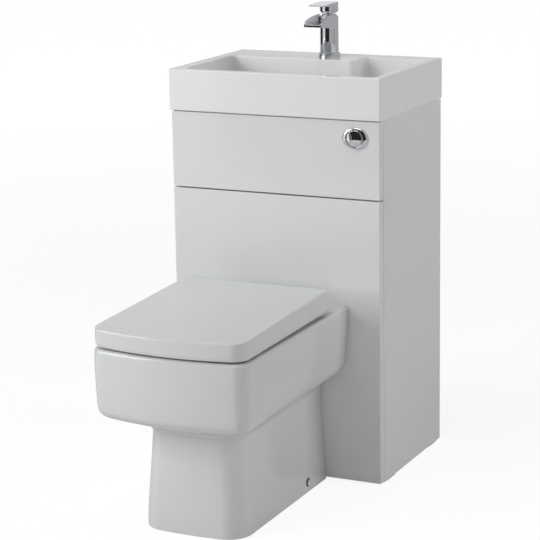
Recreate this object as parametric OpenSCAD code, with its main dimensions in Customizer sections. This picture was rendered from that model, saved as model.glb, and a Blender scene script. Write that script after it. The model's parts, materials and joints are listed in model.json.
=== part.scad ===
// Toilet and basin combination unit: a back-to-wall pan in front of a slim cabinet that holds the
// cistern and carries a basin with a waterfall tap. Millimetres, +Z up, the front faces -Y.
// Origin: on the floor, in the middle of the whole unit's width and depth.

/* [Overall] */
// Depth from the front of the seat lid to the back of the basin
unit_d = 890; // [880:1:900]
// Height of the basin's top above the floor
unit_h = 894; // [890:1:900]

/* [Basin] */
// Width of the basin
basin_w = 500; // [498:1:506]
// Depth of the basin, front to back
basin_d = 365; // [363:1:368]
// Height of the basin's front
basin_h = 90; // [88:1:94]
// Depth of the bowl at the waste
bowl_depth = 80; // [74:1:80]
// Thickness of the tap deck
deck_t = 12; // [10:0.5:14]

/* [Cabinet] */
// Width of the cabinet
cab_w = 493.5; // [492:0.5:495]
// Distance of the cabinet's front behind the basin's front
cab_setback = 4.4; // [3:0.2:6]
// Thickness of the side panels, rails and shelf
board_t = 18; // [16:1:18]
// Thickness of the front panels
front_t = 19; // [18:0.5:19]
// Height of the joint between the two front panels
split_z = 632.7; // [625:0.1:640]
// Gap between panels and under the basin
gap = 3; // [2:0.5:3]
// Height of the glide feet
foot_h = 2; // [2:0.5:5]

/* [Pan] */
// Height of the pan's rim
pan_h = 400; // [397:1:402]
// Half width of the pan at its rim
pan_hw = 175; // [173:0.5:176]
// Half width of the pan's foot on the floor
foot_hw = 117; // [112:1:120]
// Height of the soil outlet's centre
outlet_z = 185; // [183:1:187]
// Height of the flush inlet's centre
inlet_z = 332; // [331:1:333]

/* [Seat] */
// Half width of the lid
lid_hw = 171.5; // [170:0.5:172]
// Height of the lid's top at the front
lid_front_z = 441; // [440:1:446]
// Height of the lid's top at the back
lid_rear_z = 457; // [455:1:459]
// Thickness of the seat ring
ring_t = 18; // [15:1:18]
// Distance between the hinge posts
hinge_pitch = 155; // [150:1:158]

/* [Tap] */
// Distance of the tap's axis in front of the basin's back
tap_back = 59; // [57:1:61]
// Diameter of the tap's column
tap_d = 41; // [39:0.5:41.5]
// Reach of the spout from the tap's axis
spout_reach = 91; // [84:1:94]
// Reach of the lever's blade from the tap's axis
lever_reach = 68; // [60:1:72]

/* [Flush button] */
// Distance of the button from the middle of the cabinet
button_x = 191; // [190:0.5:191]
// Height of the button's centre above the floor
button_z = 764.5; // [764:0.1:764.5]
// Width of the oval bezel
bezel_w = 60; // [54:1:62]
// Height of the oval bezel
bezel_h = 48; // [46:1:54]

/* [Cistern] */
// Width of the cistern tank
tank_w = 350; // [340:1:350]
// Depth of the cistern tank
tank_d = 140; // [136:1:140]
// Height of the cistern tank
tank_h = 290; // [280:1:292]

/* [Waste] */
// Distance of the basin's waste in front of the tap's axis
waste_ahead = 170; // [166:1:174]
// Outside diameter of the waste pipe
waste_pipe_d = 36; // [35:0.5:36]

/* [Hidden] */
$fn = 64;

// Planes of the unit
back_y = unit_d/2;
basin_front_y = back_y - basin_d;
front_y = basin_front_y + cab_setback;
panel_back_y = front_y + front_t;
stile_y = panel_back_y + 1;
stile_end_y = stile_y + 10.6;
side_y = stile_end_y + 0.6;
top_z = unit_h - basin_h - gap;
basin_z = unit_h - basin_h;
inner_x = cab_w/2 - board_t;
stile_leg = 10;

// Bowl and tap deck
bowl_front_y = basin_front_y + 18;
bowl_left_x = -218;
bowl_right_x = 229;
deck_front_y = basin_front_y + 255;
deck_right_x = 82;
bowl_back_y = basin_front_y + 316;
bowl_z = unit_h - bowl_depth;
tap_y = back_y - tap_back;
waste_y = tap_y - waste_ahead;
waste_hole_r = 22.5;
tap_hole_r = 17.5;

// Colours
white_gloss = [0.86, 0.87, 0.87];
board_white = [0.80, 0.80, 0.79];
glaze = [0.90, 0.91, 0.92];
chrome = [0.78, 0.79, 0.80];
brass = [0.76, 0.60, 0.30];
steel = [0.62, 0.63, 0.65];
rubber = [0.12, 0.12, 0.13];
dark_plastic = [0.22, 0.23, 0.24];
white_plastic = [0.88, 0.88, 0.86];
red_mark = [0.75, 0.15, 0.12];
blue_mark = [0.15, 0.3, 0.7];

// ---------------------------------------------------------------- shared shapes

// A rectangle with true round corners
module rrect(x0, x1, y0, y1, r) {
    translate([x0 + r, y0]) square([x1 - x0 - 2*r, y1 - y0]);
    translate([x0, y0 + r]) square([x1 - x0, y1 - y0 - 2*r]);
    for (x = [x0 + r, x1 - r], y = [y0 + r, y1 - r]) translate([x, y]) circle(r);
}

// A board between two corners
module board(a, b) {
    translate(a) cube(b - a);
}

// A cylinder along +X or +Y from a point
module rod_x(p, r, l) { translate(p) rotate([0, 90, 0]) cylinder(r = r, h = l); }
module rod_y(p, r, l) { translate(p) rotate([-90, 0, 0]) cylinder(r = r, h = l); }
module rod_z(p, r, l) { translate(p) cylinder(r = r, h = l); }

// Tubes along the same ways
module tube_x(p, ro, ri, l) { difference() { rod_x(p, ro, l); rod_x(p - [1, 0, 0], ri, l + 2); } }
module tube_y(p, ro, ri, l) { difference() { rod_y(p, ro, l); rod_y(p - [0, 1, 0], ri, l + 2); } }
module tube_z(p, ro, ri, l) { difference() { rod_z(p, ro, l); rod_z(p - [0, 0, 1], ri, l + 2); } }

// A hexagon nut along Z, measured across its flats
module hex_z(p, af, r, h) {
    difference() {
        translate(p) cylinder(r = af/2/cos(30), h = h, $fn = 6);
        rod_z(p - [0, 0, 1], r, h + 2);
    }
}

// Left half of a D outline, from its back to its round front, then mirrored to the right
function half_d(hw, yf, yb, rf, ns = 4, na = 7, nf = 4) = [
    for (k = [0:ns]) [-hw, yb + (yf + rf - yb)*k/ns],
    for (k = [1:na]) [rf - hw - rf*cos(90*k/na), yf + rf - rf*sin(90*k/na)],
    for (k = [1:nf]) [(rf - hw)*(1 - k/(nf + 0.5)), yf]];
function bowed(p, hw, yf, rf, bow) =
    [p[0], p[1] - (p[1] < yf + rf ? bow*(1 - pow(p[0]/hw, 2))*(1 - (p[1] - yf)/rf) : 0)];
// Side walls drawn in toward the cabinet, from where the front's corner ends
function pinched(p, hw, y0, pinch) =
    [p[0]*(1 - pinch/hw*max(0, (p[1] - y0)/(front_y - y0))), p[1]];
function mirrored(h) = concat(h, [for (k = [len(h) - 1:-1:0]) [-h[k][0], h[k][1]]]);
function d_ring(hw, yf, yb, rf, bow, pinch = 0) = mirrored(
    [for (p = half_d(hw, yf, yb, rf)) pinched(bowed(p, hw, yf, rf, bow), hw, yf + rf, pinch)]);

// An oval outline with the same point order as a D
function oval(a, b, yc, m = 16) =
    mirrored([for (k = [0:m - 1]) let (t = 180*(k + 0.5)/m) [-a*sin(t), yc + b*cos(t)]]);

// Outline points raised to a height, or to a height that follows y
function at_z(pts, z) = [for (p = pts) [p[0], p[1], z]];

// A closed solid through rings of points, each ring anticlockwise seen from above and
// symmetric left to right, so that its ends close in strips
module loft(rings) {
    n = len(rings[0]);
    last = (len(rings) - 1)*n;
    sides = [for (i = [0:len(rings) - 2], j = [0:n - 1])
        let (a = i*n + j, b = i*n + (j + 1)%n) each [[a, a + n, b + n], [a, b + n, b]]];
    low = [for (j = [0:n/2 - 2]) each [[j, j + 1, n - 2 - j], [j, n - 2 - j, n - 1 - j]]];
    high = [for (f = low) [f[2] + last, f[1] + last, f[0] + last]];
    polyhedron([for (r = rings) each r], concat(sides, low, high), convexity = 8);
}

// A round tube along a route, as one closed solid
function unit(v) = v/norm(v);
function tangent(p, i) = unit(p[min(i + 1, len(p) - 1)] - p[max(i - 1, 0)]);
module sweep(p, r, n = 8, ref = [0.37, 0.81, 0.21]) {
    rings = [for (i = [0:len(p) - 1])
        let (t = tangent(p, i), u = unit(cross(ref, t)), v = cross(t, u))
        [for (k = [0:n - 1]) p[i] + r*(u*cos(360*k/n) + v*sin(360*k/n))]];
    last = (len(p) - 1)*n;
    sides = [for (i = [0:len(p) - 2], j = [0:n - 1])
        let (a = i*n + j, b = i*n + (j + 1)%n) each [[a, a + n, b + n], [a, b + n, b]]];
    caps = [for (k = [1:n - 2]) each [[0, k, k + 1], [last, last + k + 1, last + k]]];
    polyhedron([for (q = rings) each q], concat(sides, caps), convexity = 8);
}

// A smooth curve through hand-chosen points
function curve_at(a, b, c, d, t) =
    0.5*(2*b + (c - a)*t + (2*a - 5*b + 4*c - d)*t*t + (3*b - a - 3*c + d)*t*t*t);
function smooth(p, s = 4) = concat(
    [for (i = [0:len(p) - 2], k = [0:s - 1])
        curve_at(p[max(i - 1, 0)], p[i], p[i + 1], p[min(i + 2, len(p) - 1)], k/s)],
    [p[len(p) - 1]]);

// ---------------------------------------------------------------- cabinet

clip_x = cab_w/2 - 14;
clip_zs = [60, 350, 600, 660, 780];
clip_r = 4;
shelf_z = 382;
rail_top_z = shelf_z + board_t;
tank_x0 = -165;
tank_y0 = back_y - tank_d - 5;
flush_y = tank_y0 + 68;
fill_x = 140;
block = 30;
screw_r = 2;
wall_hole_x = 180;
wall_hole_z = 762;
wall_hole_r = 4;

// Corner blocks: x side, front y, low z
block_spots = [for (s = [-1, 1]) each [
    [s, back_y - board_t - block, top_z - 56],
    [s, back_y - board_t - block, foot_h + 16],
    [s, back_y - board_t - block, shelf_z - block],
    [s, tank_y0 + 4, shelf_z - block]]];

module block_bores(l) {
    for (b = block_spots)
        rod_x([b[0] > 0 ? inner_x - block - 1 : -inner_x + block + 1 - l, b[1] + block/2,
            b[2] + block/2], screw_r, l);
}

module side_panel(s) {
    color(white_gloss) difference() {
        board([s > 0 ? inner_x : -cab_w/2, side_y, foot_h],
            [s > 0 ? cab_w/2 : -inner_x, back_y, top_z]);
        block_bores(block + 1 + 12);
    }
}
module side_panel_left() { side_panel(-1); }
module side_panel_right() { side_panel(1); }

// Posts that carry the front panels: an outer leg behind the panels and a leg inside the side
module front_stiles() {
    color(white_gloss) difference() {
        for (s = [0, 1]) mirror([s, 0, 0]) {
            board([inner_x - stile_leg, stile_y, foot_h], [cab_w/2, stile_end_y, top_z]);
            board([inner_x - stile_leg, stile_end_y, foot_h], [inner_x, stile_y + 45.6, top_z]);
            board([inner_x, stile_end_y, foot_h + 20], [inner_x + 4, side_y, top_z - 20]);
        }
        for (x = [-clip_x, clip_x], z = clip_zs) rod_y([x, stile_y - 1, z], clip_r, 9);
    }
}

module front_board(z0, z1) {
    r = 2.5;
    translate([0, 0, z0]) linear_extrude(z1 - z0) union() {
        rrect(-cab_w/2, cab_w/2, front_y, panel_back_y, r);
        translate([-cab_w/2, panel_back_y - r]) square([cab_w, r]);
    }
}

module clip_holes() {
    for (x = [-clip_x, clip_x], z = clip_zs) rod_y([x, panel_back_y - 8, z], clip_r, 9);
}

module fascia_panel() {
    color(white_gloss) difference() {
        front_board(split_z + gap/2, top_z);
        clip_holes();
        rod_y([button_x, front_y - 1, button_z], barrel_r, front_t + 2);
    }
}

module lower_front_panel() {
    color(white_gloss) difference() {
        front_board(foot_h + 2, split_z - gap/2);
        clip_holes();
        rod_y([0, front_y - 1, outlet_z], 62, front_t + 2);
        rod_y([0, front_y - 1, inlet_z], 30, front_t + 2);
    }
}

// Rails across the front, under the basin, behind the panel joint and along the floor, and the
// low rail across the back
module carcass_rails() {
    x = inner_x - stile_leg;
    color(board_white) {
        board([-x, stile_y + 11.6, top_z - board_t], [x, stile_y + 71.6, top_z]);
        board([-x, stile_y, split_z - 30], [x, stile_y + board_t, split_z + 30]);
        board([-x, stile_y, foot_h], [x, stile_y + board_t, foot_h + 60]);
        board([-inner_x, back_y - board_t, foot_h], [inner_x, back_y, foot_h + 80]);
    }
}

module back_rail_top() {
    color(board_white) difference() {
        board([-inner_x, back_y - board_t, top_z - 80], [inner_x, back_y, top_z]);
        for (x = [-wall_hole_x, wall_hole_x])
            rod_y([x, back_y - board_t - 1, wall_hole_z], wall_hole_r, board_t + 2);
    }
}

module cistern_shelf() {
    color(board_white) difference() {
        board([-inner_x, tank_y0 - 6, shelf_z], [inner_x, back_y, rail_top_z]);
        rod_z([0, flush_y, shelf_z - 1], 42, board_t + 2);
        rod_z([fill_x, flush_y, shelf_z - 1], 24, board_t + 2);
    }
}

module corner_blocks() {
    color(board_white) difference() {
        for (b = block_spots)
            board([b[0] > 0 ? inner_x - block : -inner_x, b[1], b[2]],
                [b[0] > 0 ? inner_x : -inner_x + block, b[1] + block, b[2] + block]);
        block_bores(block + 2);
    }
}

module block_screws() {
    color(steel) for (b = block_spots) translate([0, b[1] + block/2, b[2] + block/2])
        mirror([b[0] > 0 ? 0 : 1, 0, 0]) {
            rod_x([inner_x - block, 0, 0], screw_r, block + 11);
            rod_x([inner_x - block - 3, 0, 0], 4, 3);
        }
}

module panel_clips() {
    color(dark_plastic) for (x = [-clip_x, clip_x], z = clip_zs) {
        rod_y([x, panel_back_y - 8, z], clip_r, 16);
        rod_y([x, panel_back_y, z], 9, 1);
    }
}

module glide_feet() {
    color(dark_plastic) for (s = [0, 1], y = [side_y + 5.4, back_y - 69]) mirror([s, 0, 0])
        linear_extrude(foot_h) rrect(inner_x + 1, cab_w/2 - 1, y, y + 50, 3);
}

// ---------------------------------------------------------------- basin

// The bowl's mouth, at an inset: a wide front part and a recess beside the tap deck
module bowl_plan(inset) {
    r = 12;
    x1 = bowl_right_x - inset;
    y0 = bowl_front_y + inset;
    rrect(bowl_left_x + inset, x1, y0, deck_front_y - inset, r);
    rrect(deck_right_x + inset, x1, y0, bowl_back_y - inset, r);
}

// Height above the bowl's floor, and the inset there
bowl_drops = [[0, 12], [4, 5], [12, 0]];

module basin() {
    color(glaze) difference() {
        union() {
            translate([0, 0, basin_z]) linear_extrude(basin_h)
                rrect(-basin_w/2, basin_w/2, basin_front_y, back_y, 4);
            translate([0, 0, top_z]) linear_extrude(gap)
                rrect(-basin_w/2 + 4, basin_w/2 - 4, basin_front_y + 12, back_y - 5, 4);
        }
        // bowl, drawn in around its floor
        for (s = bowl_drops) translate([0, 0, bowl_z + s[0]])
            linear_extrude(bowl_depth) bowl_plan(s[1]);
        // hollow under the tap deck
        translate([0, 0, top_z - 1]) linear_extrude(basin_h + gap + 1 - deck_t)
            rrect(bowl_left_x + 6, deck_right_x - 14, deck_front_y + 12, back_y - 12, 8);
        rod_z([0, tap_y, top_z], tap_hole_r, basin_h + gap + 1);
        rod_z([0, waste_y, top_z - 1], waste_hole_r, bowl_depth);
    }
}

// ---------------------------------------------------------------- basin waste

flange_r = 31;
plug_lift = 8;
tail_r = 22;
trap_z = 690;
trap_r = 36;
waste_x = -197;
waste_bend = 45;
waste_r = waste_pipe_d/2;
spigot_l = 50;

module waste_flange() {
    stem_r = 4.05;
    color(chrome) {
        translate([0, waste_y, 0]) difference() {
            union() {
                rod_z([0, 0, bowl_z], flange_r, 1.5);
                rod_z([0, 0, 740], tail_r, bowl_z - 740);
            }
            rod_z([0, 0, 739], tail_r - 3, bowl_z - 738 + 2);
        }
        // cross that guides the plug's stem
        translate([0, waste_y, bowl_z - 30]) difference() {
            union() {
                cylinder(r = 7, h = 12);
                for (a = [0, 90]) rotate(a) translate([-tail_r + 2.9, -1.5, 0])
                    cube([2*tail_r - 5.8, 3, 6]);
            }
            rod_z([0, 0, -1], stem_r, 14);
        }
    }
}

module waste_plug() {
    color(chrome) translate([0, waste_y, 0]) {
        rotate_extrude() polygon([[0, bowl_z + 10], [28, bowl_z + 10], [30, bowl_z + 12],
            [28, bowl_z + 14.5], [18, bowl_z + 16.5], [0, bowl_z + 17]]);
        rod_z([0, 0, bowl_z - 26], 4, 36.5);
    }
}

// Rubber washers under the basin, the cone between the flush pipe and the pan, and the ring in
// the soil connector's socket
module rubber_seals() {
    color(rubber) {
        tube_y([0, front_y - 30, inlet_z], 28, pipe_r, 29);
        tube_y([0, front_y - 1, inlet_z], 29.5, pipe_r, 4);
        tube_y([0, socket_y + 8, outlet_z], socket_r, spigot_r + 0.1, 12);
        tube_z([0, waste_y, top_z - 4], 33, tail_r, 4);
        tube_z([0, tap_y, unit_h - deck_t - 4], 26, shank_r, 4);
    }
}

// Bottle trap: a bottle below the waste, with its branch towards the left
module trap_body() {
    color(white_plastic) translate([0, waste_y, 0]) {
        difference() {
            union() {
                rod_z([0, 0, 642], trap_r, 92);
                rod_x([-58, 0, trap_z], 22, 26);
            }
            rod_z([0, 0, 641], trap_r - 4, 87);
            rod_z([0, 0, 727], tail_r, 10);
            rod_x([-59, 0, trap_z], waste_r - 0.5, 30);
        }
    }
}

module trap_cup() {
    color(white_plastic) translate([0, waste_y, 0]) difference() {
        union() {
            rod_z([0, 0, 600], trap_r - 2, 24);
            rod_z([0, 0, 624], trap_r + 3, 18);
            rod_z([0, 0, 642], trap_r - 4, 10);
        }
        rod_z([0, 0, 604], trap_r - 8, 49);
    }
}

// Backnut under the basin and the two union nuts of the trap
module waste_nuts() {
    color(white_plastic) {
        hex_z([0, waste_y, top_z - 14], 60, tail_r, 10);
        tube_z([0, waste_y, 734], 31, tail_r, 14);
        tube_x([-70, waste_y, trap_z], 27, waste_r - 0.5, 12);
    }
}

// Quarter bend of a tube, in the XY plane, around the origin from +X to +Y
module tube_bend(bend, ro, ri) {
    rotate_extrude(angle = 90) translate([bend, 0]) difference() { circle(ro); circle(ri); }
}

module waste_pipe() {
    bend_x = waste_x + waste_bend;
    bend_y = waste_y + waste_bend;
    r = waste_r - 0.5;
    ri = waste_r - 3;
    color(white_plastic) {
        tube_x([bend_x, waste_y, trap_z], r, ri, -40 - bend_x);
        translate([bend_x, bend_y, trap_z]) rotate(180) tube_bend(waste_bend, r, ri);
        tube_y([waste_x, bend_y, trap_z], r, ri, back_y - spigot_l - bend_y);
        tube_y([waste_x, back_y - spigot_l, trap_z], waste_r, ri, spigot_l);
    }
}

// ---------------------------------------------------------------- tap

tap_r = tap_d/2;
body_z0 = unit_h + 10;
body_z1 = unit_h + 95;
cart_r = 16;
pivot_z = unit_h + 85;
cap_z0 = body_z1 + 3.5;
cap_z1 = unit_h + 123.5;
shank_r = 15;
shank_z = unit_h - 54;
stem_r = 3.5;
collar_r = 9.7;
pivot_r = 1.5;
lip_y = tap_y - spout_reach;
lip_z = unit_h + 75;
spout_rise = 18.5;
spout_run = 74;

// Side view of the spout: a straight floor and a quarter-oval top edge
spout_side = concat(
    [[lip_y, lip_z], [tap_y - tap_r + 6, lip_z - 10], [tap_y - 6, lip_z - 10]],
    [for (k = [0:8]) let (a = 90*k/8)
        [lip_y + spout_run*(1 - sin(a)), lip_z + 3 + spout_rise*cos(a)]]);

module tap_body() {
    color(chrome) difference() {
        union() {
            translate([0, tap_y, 0]) {
                rod_z([0, 0, body_z0], tap_r, body_z1 - 4 - body_z0);
                translate([0, 0, body_z1 - 4]) cylinder(r1 = tap_r, r2 = tap_r - 4, h = 4);
                rod_z([0, 0, shank_z], shank_r, body_z0 - shank_z);
            }
            translate([-tap_r, 0, 0]) rotate([90, 0, 90]) linear_extrude(tap_d)
                polygon(spout_side);
        }
        // open channel of the spout
        difference() {
            translate([-tap_r + 2, lip_y - 1, 0]) rotate([90, 0, 90]) linear_extrude(tap_d - 4)
                polygon([[0, lip_z + 3], [spout_reach - tap_r + 7, lip_z - 6],
                    [spout_reach - tap_r + 7, lip_z + 40], [0, lip_z + 40]]);
            rod_z([0, tap_y, lip_z - 20], tap_r, 80);
        }
        // water way from the cartridge into the channel
        translate([-8, tap_y - tap_r - 1, lip_z - 3]) cube([16, 6, 4]);
        translate([0, tap_y, 0]) {
            rod_z([0, 0, pivot_z - 22], cart_r, 80);
            // bores of the shank for the two tails
            for (x = [-7.5, 7.5]) rod_z([x, 0, shank_z - 1], tail_pipe_r + 0.4, 40);
        }
    }
}

module tap_base_ring() {
    color(chrome) translate([0, tap_y, unit_h])
        rotate_extrude() polygon([[shank_r, 0], [25.4, 0], [25.4, 4.5], [24, 5.2], [24, 6],
            [24.6, 6.6], [24.6, 9], [23.6, 10], [shank_r, 10]]);
}

// Cartridge with a round pocket for the swivel collar
module tap_cartridge() {
    color(white_plastic) translate([0, tap_y, 0]) difference() {
        rod_z([0, 0, pivot_z - 22], cart_r, 24);
        rod_z([0, 0, pivot_z - 6.5], collar_r + 0.1, 10);
    }
}

module tap_cartridge_nut() {
    color(brass) tube_z([0, tap_y, pivot_z + 2], cart_r, collar_r + 0.3, 5);
}

// Collar that turns with the lever, cross bored for the lever's pivot pin
module tap_swivel_collar() {
    color(brass) difference() {
        tube_z([0, tap_y, pivot_z - 6], collar_r, collar_r - 2.2, 17.3);
        rod_x([-tap_r, tap_y, pivot_z], pivot_r + 0.05, tap_d);
    }
}

// Cap with a flat, slightly arched blade, on the cartridge's stem
module tap_lever() {
    blade = [for (k = [0:10]) let (t = k/10)
        [tap_y - lever_reach*(1 - t), cap_z1 - 3*pow(1 - t, 3)]];
    color(chrome) {
        difference() {
            union() {
                translate([0, tap_y, 0]) {
                    translate([0, 0, cap_z0]) cylinder(r1 = tap_r - 4, r2 = tap_r, h = 4);
                    rod_z([0, 0, cap_z0 + 4], tap_r, cap_z1 - 1 - cap_z0 - 4);
                    translate([0, 0, cap_z1 - 1]) cylinder(r1 = tap_r, r2 = tap_r - 1, h = 1);
                }
                intersection() {
                    translate([-tap_r, 0, 0]) rotate([90, 0, 90]) linear_extrude(tap_d)
                        polygon(concat([[tap_y, cap_z1 - 9], [tap_y - tap_r, cap_z1 - 9],
                            [tap_y - lever_reach, cap_z1 - 5]], blade));
                    translate([0, 0, cap_z0]) linear_extrude(40)
                        rrect(-tap_r, tap_r, tap_y - lever_reach, tap_y + tap_r, 4);
                }
            }
            rod_z([0, tap_y, cap_z0 - 1], tap_r - 5, 15.5);
            rod_y([0, tap_y + 5, cap_z0 + 9], screw_r, tap_r);
        }
        translate([0, tap_y, 0]) difference() {
            union() {
                rod_z([0, 0, cap_z0 + 4], 6.5, 10.5);
                rod_z([0, 0, pivot_z - stem_r], stem_r, cap_z0 + 10 - pivot_z + stem_r);
                rod_x([-collar_r + 0.3, 0, pivot_z], pivot_r, 2*collar_r - 0.6);
            }
            rod_y([0, stem_r - 0.5, cap_z0 + 9], screw_r, tap_r);
        }
    }
}

module tap_grub_screw() {
    color(steel) rod_y([0, tap_y + stem_r - 0.5, cap_z0 + 9], screw_r, tap_r - 4);
}

module tap_shank_nut() {
    color(brass) hex_z([0, tap_y, unit_h - deck_t - 14], 38, shank_r, 10);
}

// ---------------------------------------------------------------- supply

tail_pipe_r = 5;
valve_x = 200;
hot_y = 180;
cold_y = 225;
valve_z = 470;
valve_h = 60;
stop_y = 262;
stop_z = 245;

hot_route = [[7.5, tap_y, shank_z + 39], [7.5, tap_y, shank_z + 15], [7.5, tap_y, shank_z - 6],
    [8, tap_y - 1, shank_z - 14], [16, 372, 790], [40, 342, 755], [95, 310, 732],
    [150, 262, 716], [190, 208, 680], [200, 183, 620], [200, hot_y, 570],
    [200, hot_y, valve_z + valve_h - 8]];
cold_route = [[-7.5, tap_y, shank_z + 39], [-7.5, tap_y, shank_z + 15],
    [-7.5, tap_y, shank_z - 6], [-7, tap_y - 2, shank_z - 14], [0, 376, 790], [34, 362, 748],
    [88, 332, 720], [148, 286, 706], [188, 246, 662], [200, 228, 606], [200, cold_y, 562],
    [200, cold_y, valve_z + valve_h - 8]];
cistern_route = [[valve_x, stop_y, stop_z + 52], [200, 262, 318], [196, 270, 334],
    [180, 296, 346], [158, 330, 348], [143, 355, 346], [fill_x, 367, 352],
    [fill_x, flush_y, 360], [fill_x, flush_y, 368]];

// Flexible tails from the tap to the hot and cold valves
module tap_tails() {
    color(steel) for (p = [hot_route, cold_route]) sweep(smooth(p, 3), tail_pipe_r, 8);
}

module cistern_hose() { color(steel) sweep(smooth(cistern_route, 3), tail_pipe_r, 8); }

// A straight isolating valve on a vertical axis, open at the bottom for a 15 mm pipe
module valve(p) {
    difference() {
        union() {
            hex_z(p, 24, 1, 16);
            rod_z(p + [0, 0, 16], 9, 28);
            hex_z(p + [0, 0, 44], 22, 1, 16);
            rod_x(p + [-12, 0, 30], 7, 12);
        }
        rod_z(p - [0, 0, 1], 7.55, 15);
        rod_z(p + [0, 0, 10], 4, 35);
        rod_z(p + [0, 0, 50], tail_pipe_r + 0.4, 11);
        rod_x(p + [-13, 0, 30], 4.05, 11);
    }
}

// Hot, cold and cistern valves: y and low z
valve_spots = [[hot_y, valve_z], [cold_y, valve_z], [stop_y, stop_z]];

module isolating_valves() {
    color(brass) for (p = valve_spots) valve([valve_x, p[0], p[1]]);
}

// Quarter-turn spindle with a screwdriver slot
module valve_spindle(spot) {
    translate([valve_x, spot[0], spot[1] + 30]) difference() {
        union() {
            rod_x([-13.5, 0, 0], 4, 9.5);
            rod_x([-15, 0, 0], 5.5, 2.7);
        }
        translate([-16, -4, -0.6]) cube([2, 8, 1.2]);
    }
}
module hot_valve_spindle() { color(red_mark) valve_spindle(valve_spots[0]); }
module cold_valve_spindle() { color(blue_mark) valve_spindle(valve_spots[1]); }
module cistern_valve_spindle() { color(blue_mark) valve_spindle(valve_spots[2]); }

module pipe_clips() {
    color(white_plastic) for (p = valve_spots)
        difference() {
            translate([valve_x, p[0] - 8, p[1] + 20]) cube([inner_x - valve_x, 16, 20]);
            rod_z([valve_x, p[0], p[1] + 19], 9, 22);
        }
}

// ---------------------------------------------------------------- cistern

tank_x1 = tank_x0 + tank_w;
tank_y1 = tank_y0 + tank_d;
tank_z0 = rail_top_z;
tank_z1 = tank_z0 + tank_h;
tank_t = 4;
flush_tail_r = 25;
fill_tail_r = 10;
tail_z = tank_z0 - 34;
housing_z = tank_z0 + 160;
tube_r = 3;
tube_ys = [flush_y - 5, flush_y + 5];
nipple_x = -16;

module cistern_tank() {
    color(white_plastic) difference() {
        translate([0, 0, tank_z0]) linear_extrude(tank_h)
            rrect(tank_x0, tank_x1, tank_y0, tank_y1, 14);
        translate([0, 0, tank_z0 + tank_t]) linear_extrude(tank_h)
            rrect(tank_x0 + tank_t, tank_x1 - tank_t, tank_y0 + tank_t, tank_y1 - tank_t, 10);
        rod_z([0, flush_y, tank_z0 - 1], flush_tail_r, 6);
        rod_z([fill_x, flush_y, tank_z0 - 1], fill_tail_r, 6);
    }
}

module cistern_lid() {
    color(white_plastic) difference() {
        union() {
            translate([0, 0, tank_z1]) linear_extrude(6)
                rrect(tank_x0, tank_x1, tank_y0, tank_y1, 14);
            translate([0, 0, tank_z1 - 8]) linear_extrude(8)
                rrect(tank_x0 + tank_t, tank_x1 - tank_t, tank_y0 + tank_t, tank_y1 - tank_t, 10);
        }
        translate([0, 0, tank_z1 - 9]) linear_extrude(9)
            rrect(tank_x0 + 8, tank_x1 - 8, tank_y0 + 8, tank_y1 - 8, 8);
        for (y = tube_ys) rod_z([nipple_x, y, tank_z1 - 1], tube_r, 9);
    }
}

module fill_valve() {
    color(white_plastic) translate([fill_x, flush_y, 0]) {
        difference() {
            union() {
                rod_z([0, 0, tail_z], fill_tail_r, tank_z0 + tank_t - tail_z);
                rod_z([0, 0, tank_z0 + tank_t], 16, 6);
                rod_z([0, 0, tank_z0 + tank_t + 6], 13, 240);
                rod_z([0, 0, tank_z0 + 248], 22, 24);
            }
            rod_z([0, 0, tail_z - 1], tail_pipe_r, 12);
        }
    }
}

module fill_float() {
    color(dark_plastic) tube_z([fill_x, flush_y, tank_z0 + 66], 33, 13.4, 60);
}

// Open frame of the flush valve: a seat, four posts and a housing
module flush_valve_body() {
    color(white_plastic) translate([0, flush_y, 0]) {
        difference() {
            union() {
                rod_z([0, 0, tail_z], flush_tail_r, tank_z0 + tank_t - tail_z);
                rod_z([0, 0, tank_z0 + tank_t], 38, 6);
                for (a = [45:90:315]) rotate(a) translate([33, 0, tank_z0 + tank_t])
                    cylinder(r = 3, h = housing_z - tank_z0 - tank_t + 1);
                rod_z([0, 0, housing_z], 37, 40);
                for (y = tube_ys) rod_z([nipple_x, y - flush_y, housing_z + 40], tube_r, 8);
            }
            rod_z([0, 0, tail_z - 1], flush_tail_r - 3, tank_z0 + 60 - tail_z);
            rod_z([0, 0, housing_z - 1], 6.05, 36);
            rod_z([18, 0, housing_z + 8], 5.05, 40);
        }
    }
}

module flush_valve_spindle() {
    z = tank_z0 + tank_t + 6;
    color(dark_plastic) translate([0, flush_y, 0]) {
        rod_z([0, 0, z + 0.3], 27, 6);
        rod_z([0, 0, z + 6.3], 6, housing_z + 20 - z - 6.3);
    }
}

module half_flush_plunger() {
    color(blue_mark) rod_z([18, flush_y, housing_z + 20], 5, 28);
}

// Backnuts under the tank and the union nut of the flush pipe
module cistern_nuts() {
    color(white_plastic) {
        tube_z([0, flush_y, tail_z], 31, flush_tail_r, 20);
        hex_z([0, flush_y, tank_z0 - 12], 66, flush_tail_r, 12);
        hex_z([fill_x, flush_y, tank_z0 - 12], 30, fill_tail_r, 12);
    }
}

pipe_r = 22;
pipe_in = 31.5;
pipe_bend = tail_z - inlet_z;

module flush_pipe() {
    y0 = flush_y - pipe_bend;
    ri = pipe_r - 2.5;
    color(white_plastic) {
        translate([0, y0, inlet_z + pipe_bend]) rotate([0, 90, 0])
            tube_bend(pipe_bend, pipe_r, ri);
        tube_y([0, front_y - pipe_in, inlet_z], pipe_r, ri, y0 - front_y + pipe_in);
    }
}

// ---------------------------------------------------------------- flush button

barrel_r = 19.5;
bore_r = 17.8;
seg_r = 17.4;
button_face_y = front_y - 7;
seg_back_y = front_y + 7;
seam_r = 13;
seam_x = -19.4;
seam_gap = 0.5;
housing_y0 = front_y + 31.1;
stem_x_half = -11;
stem_x_full = 6;

function bezel_ring(k, y) = [for (p = oval(bezel_w/2*k, bezel_h/2*k, 0, 16)) [p[0], y, p[1]]];

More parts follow.
